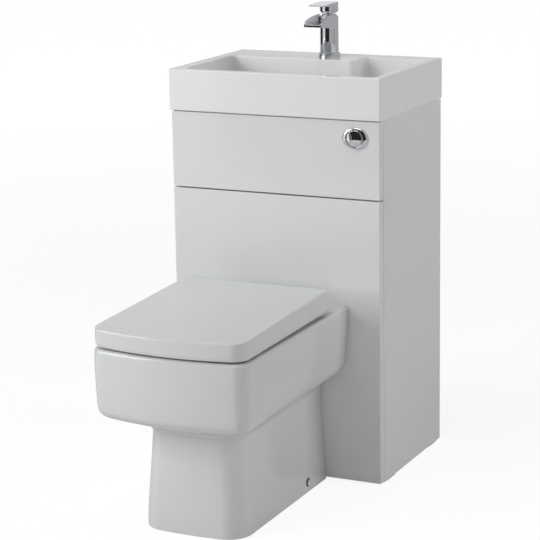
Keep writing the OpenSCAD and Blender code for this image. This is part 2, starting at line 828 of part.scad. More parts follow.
module bezel_dome() {
    // back to front, as rings in the XZ plane
    loft([bezel_ring(1, front_y), bezel_ring(0.98, front_y - 1.2), bezel_ring(0.92, front_y - 3),
        bezel_ring(0.80, front_y - 4.6), bezel_ring(0.66, front_y - 5)]);
}

module button_bezel() {
    color(chrome) translate([button_x, 0, button_z]) difference() {
        union() {
            bezel_dome();
            rod_y([0, front_y, 0], barrel_r, housing_y0 - front_y);
        }
        rod_y([0, front_y - 8, 0], bore_r, housing_y0 - front_y + 9);
    }
}

// Outlines of the two segments, seen from the front
module half_outline(g) {
    intersection() { circle(seg_r); translate([seam_x, 0]) circle(seam_r - g); }
}
module full_outline(g) {
    difference() { circle(seg_r); translate([seam_x, 0]) circle(seam_r + g); }
}

module full_flush_button() {
    color(chrome) translate([button_x, 0, button_z]) {
        translate([0, seg_back_y, 0]) rotate([90, 0, 0])
            linear_extrude(seg_back_y - button_face_y) full_outline(seam_gap/2);
        rod_y([stem_x_full, seg_back_y, 0], 3, 50);
    }
}

module half_flush_button() {
    color(chrome) translate([button_x, 0, button_z]) {
        translate([0, seg_back_y, 0]) rotate([90, 0, 0])
            linear_extrude(seg_back_y - button_face_y) half_outline(seam_gap/2);
        rod_y([stem_x_half, seg_back_y, 0], 3, 50);
    }
}

module button_nut() {
    color(white_plastic) tube_y([button_x, panel_back_y, button_z], 26, barrel_r, 8);
}

module button_housing() {
    color(dark_plastic) translate([button_x, 0, button_z]) difference() {
        union() {
            rod_y([0, housing_y0, 0], 18, 42);
            for (x = [-7, 7]) rod_y([x, housing_y0 + 42, 0], tube_r, 8);
        }
        for (x = [stem_x_half, stem_x_full]) rod_y([x, housing_y0 - 1, 0], 3.05, 38);
    }
}

function coil(p, r, l, turns) = [for (k = [0:turns*8])
    p + [r*cos(45*k), l*k/(turns*8), r*sin(45*k)]];

module button_springs() {
    color(steel) for (x = [stem_x_half, stem_x_full])
        sweep(coil([button_x + x, seg_back_y + 7.5, button_z], 4.6, 15, 5), 0.6, 5,
            [0.02, 1, 0.03]);
}

full_tube = [[button_x - 7, housing_y0 + 42, button_z], [button_x - 7, 168, 764], [178, 184, 762],
    [160, 212, 756], [104, 258, 744], [34, 312, 734], [-8, 348, 726], [nipple_x, tube_ys[0], 712],
    [nipple_x, tube_ys[0], 700], [nipple_x, tube_ys[0], housing_z + 44]];
half_tube = [[button_x + 7, housing_y0 + 42, button_z], [button_x + 7, 168, 765], [196, 186, 766],
    [178, 214, 764], [120, 262, 756], [46, 326, 746], [-4, 362, 738], [nipple_x, tube_ys[1], 724],
    [nipple_x, tube_ys[1], 700], [nipple_x, tube_ys[1], housing_z + 44]];

module air_tubes() {
    color(white_plastic) difference() {
        union() {
            sweep(smooth(full_tube, 3), tube_r, 8);
            sweep(smooth(half_tube, 3), tube_r, 8);
        }
        // the tubes start and end on the nipples
        for (y = tube_ys) rod_z([nipple_x, y, housing_z + 30], 6, 18);
        for (x = [-7, 7]) rod_y([button_x + x, housing_y0 + 38, button_z], 6, 12);
    }
}

// ---------------------------------------------------------------- pan

pan_back_y = front_y;
pan_front_y = -unit_d/2 + 0.7;
wall = 13;
fix_y = -12;
fix_z = 22;
spigot_r = 48;
socket_r = 49.5;
socket_y = 30;
socket_l = 60;

inner_r = 9;

// Outside: half width, front y, corner radius, height, bow of the front and pinch of the sides
rim_step = [pan_hw, pan_front_y, 27, 367, 22, 2.5];
pan_steps = [
    [foot_hw, -347, 44, 0, 9, 0], [foot_hw - 0.5, -347, 44, 20, 9, 0],
    [foot_hw - 5.5, -343, 40, 88, 9, 0], [foot_hw - 8.5, -340, 42, 140, 9, 0],
    [107.2, -337, 44, 180, 9, 0], [106.8, -336, 46, 206, 10, 0], [108, -344, 46, 213, 11, 0],
    [111.5, -351, 45, 223, 13, 0], [119.5, -374, 38, 231, 16, 1.5],
    [130, -389, 35, 237.5, 18, 3], [141.5, -403, 31, 243.5, 20, 5],
    [153.5, -417, 28, 248.5, 21, 7.5], [163.5, -427.5, 26, 253.5, 22, 9.5],
    [169.5, -434.5, 25, 260, 22, 10], [172, -439, 25, 268, 22, 9], [173, -441, 25, 280, 22, 7.5],
    [173.6, -442.5, 26, 298, 22, 6], [pan_hw - 0.7, pan_front_y + 0.3, 27, 330, 22, 4],
    rim_step, [pan_hw - 0.5, pan_front_y + 0.3, 27, 391, 22, 2],
    [pan_hw - 3, pan_front_y + 2.6, 25, 397.4, 22, 2], [pan_hw - 8, pan_front_y + 8, 22, 400, 22, 2]];

function pan_z(s) = s[3]*pan_h/400;
function pan_ring(s, in, yb, z) =
    at_z(d_ring(s[0] - in, s[1] + s[4] + in, yb, max(s[2] - in, inner_r), s[4], s[5]), z);

// Bowl: half width, half length, centre y, height
bowl_steps_pan = [[34, 34, -192, 76], [42, 44, -192, 96], [50, 58, -198, 150], [66, 88, -212, 200],
    [92, 118, -226, 250], [110, 138, -236, 300], [118, 148, -240, 350], [118, 150, -242, 385],
    [120, 152, -242, 410]];
function bowl_ring(s, out) = at_z(oval(s[0] + out, s[1] + out, s[2]), s[3]);

trap_route = [[0, -196, 112], [0, -165, 106], [0, -132, 124], [0, -104, 175], [0, -72, 226],
    [0, -38, 226], [0, -6, 196], [0, 18, 185], [0, 64, 185]];

// Way of the trap: a round passage through the route's points
module trap_way(r) {
    for (k = [0:len(trap_route) - 2]) hull() {
        translate(trap_route[k]) sphere(r, $fn = 18);
        translate(trap_route[k + 1]) sphere(r, $fn = 18);
    }
}

module pan_bowl(out) {
    loft([for (s = bowl_steps_pan) bowl_ring(s, out)]);
}

module pan() {
    color(glaze) difference() {
        loft([for (s = pan_steps) pan_ring(s, 0, pan_back_y, pan_z(s))]);
        // hollow between the bowl and the skirt, open at the back and at the floor
        difference() {
            loft(concat(
                [pan_ring(pan_steps[0], wall, pan_back_y + 20, -1)],
                [for (s = pan_steps) if (s[3] > 20 && s[3] < 330)
                    pan_ring(s, wall, pan_back_y + 20, s[3] + (s[3] > 215 ? wall*0.7 : 0))],
                [pan_ring(rim_step, wall, pan_back_y + 20, 380)]));
            pan_bowl(wall);
            trap_way(spigot_r);
            rod_y([0, -70, inlet_z], 38, pan_back_y + 70 - 30);
            // seat ledge, kept solid
            board([-pan_hw, -60, pan_h - 24], [pan_hw, pan_back_y + 30, pan_h]);
            // rim over the bowl
            board([-pan_hw, pan_front_y, pan_h - 36], [pan_hw, -60, pan_h]);
        }
        pan_bowl(0);
        trap_way(38);
        rod_y([0, -130, inlet_z], 18, pan_back_y + 90);
        rod_y([0, front_y - 32, inlet_z], 28, 40);
        // seat bolt holes
        for (x = [-1, 1]) rod_z([x*hinge_pitch/2, hinge_y, pan_h - 40], 7, 60);
        // floor screw holes and their flat seats
        for (s = [0, 1]) mirror([s, 0, 0]) {
            rod_x([90, fix_y, fix_z], 4, 60);
            rod_x([foot_hw - 1.6, fix_y, fix_z], 10.6, 20);
        }
    }
}

module pan_connector() {
    color(dark_plastic) difference() {
        union() {
            rod_y([0, socket_y, outlet_z], 57, socket_l + 2);
            rod_y([0, socket_y + socket_l, outlet_z], 54, back_y - socket_y - socket_l);
            rod_y([0, back_y - 60, outlet_z], 55, 60);
        }
        rod_y([0, socket_y - 1, outlet_z], socket_r, socket_l);
        rod_y([0, socket_y + socket_l - 2, outlet_z], 47, back_y);
    }
}

// Angle brackets inside the foot, with the screws that hold the pan's side walls to them
module pan_brackets() {
    color(steel) for (s = [0, 1]) mirror([s, 0, 0]) {
        difference() {
            union() {
                board([48, fix_y - 20, 0], [88, fix_y + 20, 6]);
                board([76, fix_y - 14, 6], [88, fix_y + 14, 40]);
            }
            rod_x([70, fix_y, fix_z], 3, 30);
            rod_z([60, fix_y, -1], 4, 10);
        }
        rod_x([76, fix_y, fix_z], 3, foot_hw - 1.6 - 76);
        rod_x([foot_hw - 1.6, fix_y, fix_z], 6, 2.5);
    }
}

// Round caps over the screw heads
module screw_caps() {
    color(chrome) for (s = [0, 1]) mirror([s, 0, 0]) difference() {
        rod_x([foot_hw - 1.6, fix_y, fix_z], 10, 6);
        rod_x([foot_hw - 2.6, fix_y, fix_z], 6, 3.5);
    }
}

// ---------------------------------------------------------------- seat

hinge_y = -1;
hinge_z = 419;
lug_r = 7;
pin_r = 3.5;
ring_z = pan_h + 5;
lid_front_y = -unit_d/2;

// Posts with their pins, bolts through the pan and wing nuts
module seat_hardware() {
    for (x = [-hinge_pitch/2, hinge_pitch/2]) translate([x, hinge_y, 0]) {
        color(chrome) {
            rod_z([0, 0, pan_h], 13, 1.2);
            rod_z([0, 0, pan_h + 1.2], 8, hinge_z - pan_h - 1.2);
            rod_x([-8, 0, hinge_z], lug_r, 16);
            rod_x([-17, 0, hinge_z], pin_r, 34);
        }
        color(white_plastic) {
            rod_z([0, 0, pan_h - 50], 4, 50);
            rod_z([0, 0, pan_h - 34], 15, 10);
        }
    }
}

// The lid's top and its lower edge rise along its length
seat_bow = 22;
seat_pinch = 2;
lid_t = 6;
function lid_along(y) = max(0, min(1, (y - lid_front_y)/430));
function lid_top(y) = lid_front_z + (lid_rear_z - lid_front_z)*lid_along(y);
function lid_low(y) = 404 + 6*lid_along(y);
function seat_plan(hw, yf, yb, rf) = d_ring(hw, yf, yb, rf, seat_bow, seat_pinch);
function lid_ring(hw, yf, yb, rf, drop) = [for (p = seat_plan(hw, yf, yb, rf))
    [p[0], p[1], lid_top(p[1]) - drop]];
function lid_foot(hw, yf, yb, rf, up) = [for (p = seat_plan(hw, yf, yb, rf))
    [p[0], p[1], lid_low(p[1]) + up]];

module seat_lid() {
    t = 3.5;
    f = lid_front_y + seat_bow;
    r = 28;
    lug_x = hinge_pitch/2;
    color(white_gloss) {
        difference() {
            loft([lid_foot(lid_hw - 2, f + 4, 13, r - 1, 0), lid_foot(lid_hw, f, 15, r, 6),
                lid_ring(lid_hw, f, -1, r, 17), lid_ring(lid_hw, f, -12.5, r, 3),
                lid_ring(lid_hw - 0.9, f + 0.9, -14.5, r - 1, 0.9),
                lid_ring(lid_hw - 3, f + 3, -17, r - 3, 0)]);
            loft([lid_foot(lid_hw - t - 1.5, f + t + 3, 10.5, r - t, -8),
                lid_foot(lid_hw - t, f + t, 10, r - t, 6), lid_ring(lid_hw - t, f + t, -7, r - t, 16),
                lid_ring(lid_hw - t - 2, f + t + 2, -17, r - t - 1, lid_t)]);
        // notches for the hinge posts
            for (s = [0, 1]) mirror([s, 0, 0])
                board([lug_x - 9.5, -24, 395], [lug_x + 19.5, 30, 430]);
        }
        // lugs on the pins, inboard of the posts
        for (s = [0, 1]) mirror([s, 0, 0]) difference() {
            union() {
                rod_x([lug_x - 17.5, hinge_y, hinge_z], lug_r, 8);
                board([lug_x - 17.5, hinge_y - 6, hinge_z], [lug_x - 9.5, hinge_y + 6, 431]);
                board([lug_x - 17.5, hinge_y - 34, 430], [lug_x - 9.5, hinge_y + 1, 438]);
                board([lug_x - 17.5, hinge_y - 34, 436], [lug_x - 9.5, hinge_y - 16, 447]);
            }
            rod_x([lug_x - 20, hinge_y, hinge_z], pin_r + 0.05, 12);
        }
    }
}

module seat_ring() {
    lug_x = hinge_pitch/2;
    hw = lid_hw - 15;
    f = lid_front_y + seat_bow + 15;
    r = 16;
    color(white_gloss) {
        difference() {
            loft([at_z(seat_plan(hw - 3, f + 3, -33, r - 3), ring_z),
                at_z(seat_plan(hw, f, -30, r), ring_z + 5),
                at_z(seat_plan(hw, f, -30, r), ring_z + ring_t - 5),
                at_z(seat_plan(hw - 6, f + 6, -36, r - 6), ring_z + ring_t)]);
            loft([at_z(oval(112, 143, -246), ring_z - 1), at_z(oval(104, 134, -246), ring_z + 10),
                at_z(oval(112, 143, -246), ring_z + ring_t + 1)]);
        }
        for (s = [0, 1]) mirror([s, 0, 0]) {
            difference() {
                union() {
                    rod_x([lug_x + 9, hinge_y, hinge_z], lug_r, 8);
                    board([lug_x + 9, -38, ring_z + 6], [lug_x + 17, hinge_y - 4, hinge_z + 2]);
                }
                rod_x([lug_x + 7, hinge_y, hinge_z], pin_r + 0.05, 12);
            }
        }
    }
}

// Pads between the ring and the pan's rim, and between the lid and the ring
buffer_gap = 0.3;
module ring_buffers() {
    color(rubber) for (x = [-1, 1], y = [-345, -120])
        translate([x*(y < -200 ? 118 : 140), y, pan_h + buffer_gap])
            linear_extrude(ring_z - pan_h - buffer_gap) rrect(-8, 8, -14, 14, 7);
}

module lid_buffers() {
    z0 = ring_z + ring_t + buffer_gap;
    pad_r = 6;
    pad_y = -350;
    color(rubber) for (x = [-128, 128])
        rod_z([x, pad_y, z0], pad_r, lid_top(pad_y - pad_r/2) - lid_t - z0);
}

// ---------------------------------------------------------------- assembly

side_panel_left();
side_panel_right();
front_stiles();
fascia_panel();
lower_front_panel();
carcass_rails();
back_rail_top();
cistern_shelf();
corner_blocks();
block_screws();
panel_clips();
glide_feet();
basin();
waste_flange();
waste_plug();
rubber_seals();
waste_nuts();
trap_body();
trap_cup();
waste_pipe();
tap_body();
tap_base_ring();
tap_cartridge();
tap_cartridge_nut();
tap_swivel_collar();
tap_lever();
tap_grub_screw();
tap_shank_nut();
tap_tails();
isolating_valves();
hot_valve_spindle();
cold_valve_spindle();
cistern_valve_spindle();
pipe_clips();
cistern_hose();
cistern_tank();
cistern_lid();
fill_valve();
fill_float();
flush_valve_body();
flush_valve_spindle();
half_flush_plunger();
cistern_nuts();
flush_pipe();
button_bezel();
full_flush_button();
half_flush_button();
button_nut();
button_housing();
button_springs();
air_tubes();
pan();
pan_connector();
pan_brackets();
screw_caps();
seat_hardware();
seat_ring();
ring_buffers();
seat_lid();
lid_buffers();
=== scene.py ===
"""Looks of a toilet and basin combination unit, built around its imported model.

Sizes in the classes are millimetres. A mesh is scaled to metres when it is placed.
"""

from __future__ import annotations

import functools
import json
import logging
import math
from dataclasses import dataclass, field
from enum import Enum
from typing import Callable, Iterable, Sequence

import bmesh
import bpy
from mathutils import Matrix, Vector

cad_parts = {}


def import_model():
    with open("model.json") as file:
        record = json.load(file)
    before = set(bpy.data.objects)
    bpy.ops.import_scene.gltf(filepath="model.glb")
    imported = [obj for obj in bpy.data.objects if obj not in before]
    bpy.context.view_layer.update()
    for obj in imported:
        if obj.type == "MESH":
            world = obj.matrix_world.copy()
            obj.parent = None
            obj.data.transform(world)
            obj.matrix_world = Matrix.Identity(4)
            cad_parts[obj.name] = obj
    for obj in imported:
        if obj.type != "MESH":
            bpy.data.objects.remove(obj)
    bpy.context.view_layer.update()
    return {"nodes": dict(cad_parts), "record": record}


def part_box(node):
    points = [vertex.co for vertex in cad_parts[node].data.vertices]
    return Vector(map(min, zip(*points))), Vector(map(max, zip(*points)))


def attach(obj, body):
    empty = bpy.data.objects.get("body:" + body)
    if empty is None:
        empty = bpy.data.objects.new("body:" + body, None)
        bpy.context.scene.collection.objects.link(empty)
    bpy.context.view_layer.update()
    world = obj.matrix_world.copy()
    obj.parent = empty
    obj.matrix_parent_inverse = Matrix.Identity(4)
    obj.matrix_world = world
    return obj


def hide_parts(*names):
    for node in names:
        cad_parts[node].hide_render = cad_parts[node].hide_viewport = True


Vec2 = tuple[float, float]
Colour = tuple[float, float, float]
Ring = list[Vector]
Test = Callable[[Vector, Vector], bool]

MM = 0.001
log = logging.getLogger("unit")


class Body(Enum):
    """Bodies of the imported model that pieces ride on."""

    BASE = "base"
    LID = "lid"
    RING = "ring"
    FULL_BUTTON = "full_button"
    HALF_BUTTON = "half_button"
    PLUG = "plug"
    SWIVEL = "swivel"
    LEVER = "lever"


class Slot(Enum):
    """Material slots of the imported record."""

    BOARD = "white_board"
    CARCASS = "carcass_board"
    ZINC = "zinc_steel"
    DARK = "dark_plastic"
    BASIN = "basin_glaze"
    PAN = "pan_glaze"
    CHROME = "chrome_plate"
    RUBBER = "black_rubber"
    BUFFER = "clear_buffer"
    WHITE = "white_plastic"
    BRASS = "plain_brass"
    BRAID = "braided_steel"
    RED = "red_plastic"
    BLUE = "blue_plastic"
    SEAT = "seat_gloss"


class Ends(Enum):
    """How a loft of rings is closed."""

    FLAT = "one face"
    STRIPS = "strips from left to right"
    JOINED = "last ring to first"


class Axis(Enum):
    """Axis that a profile is turned about."""

    X = 0
    Y = 1
    Z = 2


# ---------------------------------------------------------------- node trees


class Graph:
    """Adds and links nodes in one node tree."""

    def __init__(self, tree: bpy.types.NodeTree) -> None:
        """Args: tree: the tree that nodes are added to."""
        self.tree = tree

    def add(self, kind: str, **settings: object) -> bpy.types.Node:
        """Adds a node.

        Args:
            kind: the node's type.
            settings: properties to set on it.
        Returns:
            The new node.
        """
        node = self.tree.nodes.new(kind)
        for name, value in settings.items():
            setattr(node, name, value)
        return node

    def feed(self, socket: bpy.types.NodeSocket, value: object) -> None:
        """Links an output to a socket, or sets the socket's constant."""
        if isinstance(value, bpy.types.NodeSocket):
            self.tree.links.new(value, socket)
        else:
            socket.default_value = value

    def math(self, operation: str, a: object, b: object = 0.0) -> bpy.types.NodeSocket:
        """Returns the result of a Math node on two values or outputs."""
        node = self.add("ShaderNodeMath", operation=operation)
        self.feed(node.inputs[0], a)
        self.feed(node.inputs[1], b)
        return node.outputs[0]

    def noise(self, where: object, scale: object, detail: float = 2.0) -> bpy.types.NodeSocket:
        """Returns a noise value over a place.

        Args:
            where: the output that gives the place.
            scale: cells per metre, a number or an output.
            detail: octaves.
        Returns:
            The noise's value output.
        """
        node = self.add("ShaderNodeTexNoise")
        self.feed(node.inputs["Vector"], where)
        self.feed(node.inputs["Scale"], scale)
        node.inputs["Detail"].default_value = detail
        return node.outputs[0]

    def remap(self, value: object, low: float, high: float, to_low: object = 0.0,
              to_high: object = 1.0) -> bpy.types.NodeSocket:
        """Returns a value moved smoothly from one range to another, clamped."""
        node = self.add("ShaderNodeMapRange", interpolation_type="SMOOTHSTEP")
        for socket, given in zip(node.inputs, (value, low, high, to_low, to_high)):
            self.feed(socket, given)
        return node.outputs[0]

    def mix(self, share: object, a: object, b: object, how: str = "MIX") -> bpy.types.NodeSocket:
        """Returns a mix of two colours."""
        node = self.add("ShaderNodeMix", data_type="RGBA", blend_type=how)
        self.feed(node.inputs["Factor"], share)
        self.feed(node.inputs[6], a)
        self.feed(node.inputs[7], b)
        return node.outputs[2]

    def place(self) -> bpy.types.NodeSocket:
        """Returns the object coordinates, which are metres in the part's frame."""
        return self.add("ShaderNodeTexCoord").outputs["Object"]

    def group(self, tree: bpy.types.NodeTree, **values: object) -> bpy.types.Node:
        """Adds a node group and feeds its inputs, an underscore standing for a space."""
        node = self.add("ShaderNodeGroup", node_tree=tree)
        for name, value in values.items():
            self.feed(node.inputs[name.replace("_", " ")], value)
        return node


def rgba(colour: Colour) -> tuple[float, float, float, float]:
    """Returns a colour with full alpha."""
    return (*colour, 1.0)


class Effect:
    """A shader node group that is built once and shared by materials."""

    FLOAT = "NodeSocketFloat"
    COLOUR = "NodeSocketColor"

    def __init__(self, name: str, inputs: dict[str, str], outputs: dict[str, str]) -> None:
        """Args: name: the group's name. inputs, outputs: socket names with their types."""
        self.tree = bpy.data.node_groups.new(name, "ShaderNodeTree")
        for label, kind in inputs.items():
            self.tree.interface.new_socket(name=label, in_out="INPUT", socket_type=kind)
        for label, kind in outputs.items():
            self.tree.interface.new_socket(name=label, in_out="OUTPUT", socket_type=kind)
        self.graph = Graph(self.tree)
        self.given = self.graph.add("NodeGroupInput").outputs
        self.result = self.graph.add("NodeGroupOutput").inputs


@functools.cache
def tone_drift() -> bpy.types.NodeTree:
    """Returns a group that lets a colour drift slowly over a surface."""
    fx = Effect("tone_drift", {"Colour": Effect.COLOUR, "Drift": Effect.FLOAT,
                               "Scale": Effect.FLOAT}, {"Colour": Effect.COLOUR})
    g = fx.graph
    cloud = g.noise(g.place(), fx.given["Scale"], 3.0)
    shade = g.math("SUBTRACT", 1.0, g.math("MULTIPLY", cloud, fx.given["Drift"]))
    grey = g.add("ShaderNodeCombineColor")
    for socket in grey.inputs:
        g.feed(socket, shade)
    g.feed(fx.result["Colour"], g.mix(1.0, fx.given["Colour"], grey.outputs[0], "MULTIPLY"))
    return fx.tree


@functools.cache
def handling_marks() -> bpy.types.NodeTree:
    """Returns a group that varies a roughness with wiped patches and fine dust."""
    fx = Effect("handling_marks", {"Roughness": Effect.FLOAT, "Marks": Effect.FLOAT,
                                   "Scale": Effect.FLOAT}, {"Roughness": Effect.FLOAT})
    g = fx.graph
    where = g.place()
    wiped = g.remap(g.noise(where, fx.given["Scale"], 3.0), 0.38, 0.66)
    dust = g.remap(g.noise(where, 900.0, 1.0), 0.62, 0.78)
    both = g.math("ADD", g.math("MULTIPLY", wiped, 0.7), g.math("MULTIPLY", dust, 0.3))
    g.feed(fx.result["Roughness"],
           g.math("ADD", fx.given["Roughness"], g.math("MULTIPLY", both, fx.given["Marks"])))
    return fx.tree


@functools.cache
def soft_ripple() -> bpy.types.NodeTree:
    """Returns a group that gives the height of a slow ripple with a fine peel on it."""
    fx = Effect("soft_ripple", {"Ripple": Effect.FLOAT, "Peel": Effect.FLOAT,
                                "Peel Share": Effect.FLOAT}, {"Height": Effect.FLOAT})
    g = fx.graph
    where = g.place()
    slow = g.noise(where, fx.given["Ripple"], 1.0)
    fine = g.math("MULTIPLY", g.noise(where, fx.given["Peel"], 2.0), fx.given["Peel Share"])
    g.feed(fx.result["Height"], g.math("ADD", slow, fine))
    return fx.tree


@functools.cache
def settled_dust() -> bpy.types.NodeTree:
    """Returns a group that greys faces that look up, in uneven patches."""
    fx = Effect("settled_dust", {"Colour": Effect.COLOUR, "Dust": Effect.COLOUR,
                                 "Amount": Effect.FLOAT}, {"Colour": Effect.COLOUR})
    g = fx.graph
    parts = g.add("ShaderNodeSeparateXYZ")
    g.feed(parts.inputs[0], g.add("ShaderNodeNewGeometry").outputs["Normal"])
    up = g.remap(parts.outputs[2], 0.3, 0.95)
    patch = g.remap(g.noise(g.place(), 24.0, 4.0), 0.3, 0.75)
    share = g.math("MULTIPLY", g.math("MULTIPLY", up, patch), fx.given["Amount"])
    g.feed(fx.result["Colour"], g.mix(share, fx.given["Colour"], fx.given["Dust"]))
    return fx.tree


@functools.cache
def wire_braid() -> bpy.types.NodeTree:
    """Returns a group that weaves flat strands, crossing left over right, along a hose's UV map;
    its Shade output is painted shade, darker where the strands dip.
    """
    fx = Effect("wire_braid", {"Strands": Effect.FLOAT, "Turns": Effect.FLOAT},
                {"Height": Effect.FLOAT, "Shade": Effect.FLOAT})
    g = fx.graph
    parts = g.add("ShaderNodeSeparateXYZ")
    g.feed(parts.inputs[0], g.add("ShaderNodeTexCoord").outputs["UV"])
    around = g.math("MULTIPLY", parts.outputs[0], fx.given["Strands"])
    along = g.math("MULTIPLY", parts.outputs[1], fx.given["Turns"])
    strands = []
    for way in ("ADD", "SUBTRACT"):
        lane = g.math(way, around, along)
        across = g.math("ABSOLUTE", g.math("SINE", g.math("MULTIPLY", lane, math.pi)))
        strands.append((g.math("FLOOR", lane), g.remap(across, 0.12, 0.6)))
    cell = g.math("ADD", strands[0][0], strands[1][0])
    over = g.math("ABSOLUTE", g.math("MODULO", cell, 2.0))
    first = g.math("MULTIPLY", strands[0][1], over)
    second = g.math("MULTIPLY", strands[1][1], g.math("SUBTRACT", 1.0, over))
    height = g.math("ADD", first, second)
    g.feed(fx.result["Height"], height)
    # painted shade: the Shade output darkens the colour as the strands dip into the grooves
    g.feed(fx.result["Shade"], g.remap(height, 0.0, 0.7))
    return fx.tree


@functools.cache
def pressed_chips() -> bpy.types.NodeTree:
    """Returns a group with the mottle of pressed wood chips, as a share and a height."""
    fx = Effect("pressed_chips", {"Scale": Effect.FLOAT},
                {"Share": Effect.FLOAT, "Height": Effect.FLOAT})
    g = fx.graph
    where = g.place()
    cells = g.add("ShaderNodeTexVoronoi")
    g.feed(cells.inputs["Vector"], where)
    g.feed(cells.inputs["Scale"], fx.given["Scale"])
    grain = g.noise(where, g.math("MULTIPLY", fx.given["Scale"], 3.0), 4.0)
    tint = g.add("ShaderNodeRGBToBW")
    g.feed(tint.inputs[0], cells.outputs["Color"])
    g.feed(fx.result["Share"], g.math("MULTIPLY", g.math("ADD", tint.outputs[0], grain), 0.5))
    g.feed(fx.result["Height"], g.math("SUBTRACT", grain, cells.outputs["Distance"]))
    return fx.tree


# ---------------------------------------------------------------- finishes


@dataclass(frozen=True)
class Finish:
    """A surface: its colour and gloss, and how uneven both are."""

    name: str
    colour: Colour
    roughness: float
    metallic: float = 0.0
    coat: float = 0.0
    coat_roughness: float = 0.04
    drift: float = 0.03
    drift_scale: float = 9.0
    marks: float = 0.03
    marks_scale: float = 14.0
    ripple: float = 16.0
    peel: float = 420.0
    peel_share: float = 0.05
    relief: float = 0.0002
    dust: float = 0.0
    dust_colour: Colour = (0.55, 0.53, 0.50)

    def surface_colour(self, g: Graph) -> bpy.types.NodeSocket:
        """Returns the colour output: the base colour with drift, and dust where it has any."""
        tone = g.group(tone_drift(), Colour=rgba(self.colour), Drift=self.drift,
                       Scale=self.drift_scale).outputs[0]
        if not self.dust:
            return tone
        return g.group(settled_dust(), Colour=tone, Dust=rgba(self.dust_colour),
                       Amount=self.dust).outputs[0]

    def surface_roughness(self, g: Graph) -> bpy.types.NodeSocket:
        """Returns the roughness output."""
        return g.group(handling_marks(), Roughness=self.roughness, Marks=self.marks,
                       Scale=self.marks_scale).outputs[0]

    def surface_height(self, g: Graph) -> bpy.types.NodeSocket:
        """Returns the height output for the bump."""
        return g.group(soft_ripple(), Ripple=self.ripple, Peel=self.peel,
                       Peel_Share=self.peel_share).outputs[0]

    def material(self) -> bpy.types.Material:
        """Returns the material of this finish, which is built once."""
        return built_material(self)


@functools.cache
def built_material(finish: Finish) -> bpy.types.Material:
    """Builds the node material of a finish.

    Args:
        finish: the finish to build.
    Returns:
        The new material.
    """
    material = bpy.data.materials.new(finish.name)
    material.use_nodes = True
    g = Graph(material.node_tree)
    shader = material.node_tree.nodes["Principled BSDF"]
    shader.inputs["Metallic"].default_value = finish.metallic
    shader.inputs["Coat Weight"].default_value = finish.coat
    shader.inputs["Coat Roughness"].default_value = finish.coat_roughness
    g.feed(shader.inputs["Base Color"], finish.surface_colour(g))
    g.feed(shader.inputs["Roughness"], finish.surface_roughness(g))
    bump = g.add("ShaderNodeBump")
    bump.inputs["Strength"].default_value = 1.0
    bump.inputs["Distance"].default_value = finish.relief
    g.feed(bump.inputs["Height"], finish.surface_height(g))
    g.feed(shader.inputs["Normal"], bump.outputs[0])
    return material


@dataclass(frozen=True)
class Grained(Finish):
    """A moulded or rubbery surface with a fine, even grain."""

    grain: float = 1400.0

    def surface_height(self, g: Graph) -> bpy.types.NodeSocket:
        """Returns the grain's height with a slow ripple under it."""
        ripple = Finish.surface_height(self, g)
        return g.math("ADD", ripple, g.noise(g.place(), self.grain, 3.0))


@dataclass(frozen=True)
class Galvanised(Finish):
    """Zinc plate with a faint crystal pattern."""

    spangle: float = 260.0

    def surface_colour(self, g: Graph) -> bpy.types.NodeSocket:
        """Returns the zinc's colour, lighter and darker from crystal to crystal."""
        cells = g.group(pressed_chips(), Scale=self.spangle).outputs["Share"]
        dark = tuple(0.72 * c for c in self.colour)
        return g.mix(g.remap(cells, 0.2, 0.8), rgba(dark), rgba(self.colour))


@dataclass(frozen=True)
class Braided(Finish):
    """Woven steel wire around a hose, which follows the hose's UV map, with painted shade in the
    grooves between strands.
    """

    strands: float = 14.0
    turns: float = 160.0
    # groove: the colour of the painted shade where the strands dip
    groove: Colour = (0.10, 0.10, 0.11)

    def weave(self, g: Graph) -> bpy.types.Node:
        """Returns the braid group's node."""
        return g.group(wire_braid(), Strands=self.strands, Turns=self.turns)

    def surface_colour(self, g: Graph) -> bpy.types.NodeSocket:
        """Returns bright wire over grooves darkened with painted shade."""
        return g.mix(self.weave(g).outputs["Shade"], rgba(self.groove), rgba(self.colour))

    def surface_height(self, g: Graph) -> bpy.types.NodeSocket:
        """Returns the height of the woven strands."""
        return self.weave(g).outputs["Height"]


@dataclass(frozen=True)
class Chipboard(Finish):
    """The raw edge of a board."""

    chips: float = 420.0
    dark: Colour = (0.26, 0.17, 0.09)

    def surface_colour(self, g: Graph) -> bpy.types.NodeSocket:
        """Returns the mottled colour of pressed chips."""
        share = g.group(pressed_chips(), Scale=self.chips).outputs["Share"]
        return g.mix(g.remap(share, 0.25, 0.75), rgba(self.dark), rgba(self.colour))

    def surface_height(self, g: Graph) -> bpy.types.NodeSocket:
        """Returns the open height of the chips."""
        return g.group(pressed_chips(), Scale=self.chips).outputs["Height"]


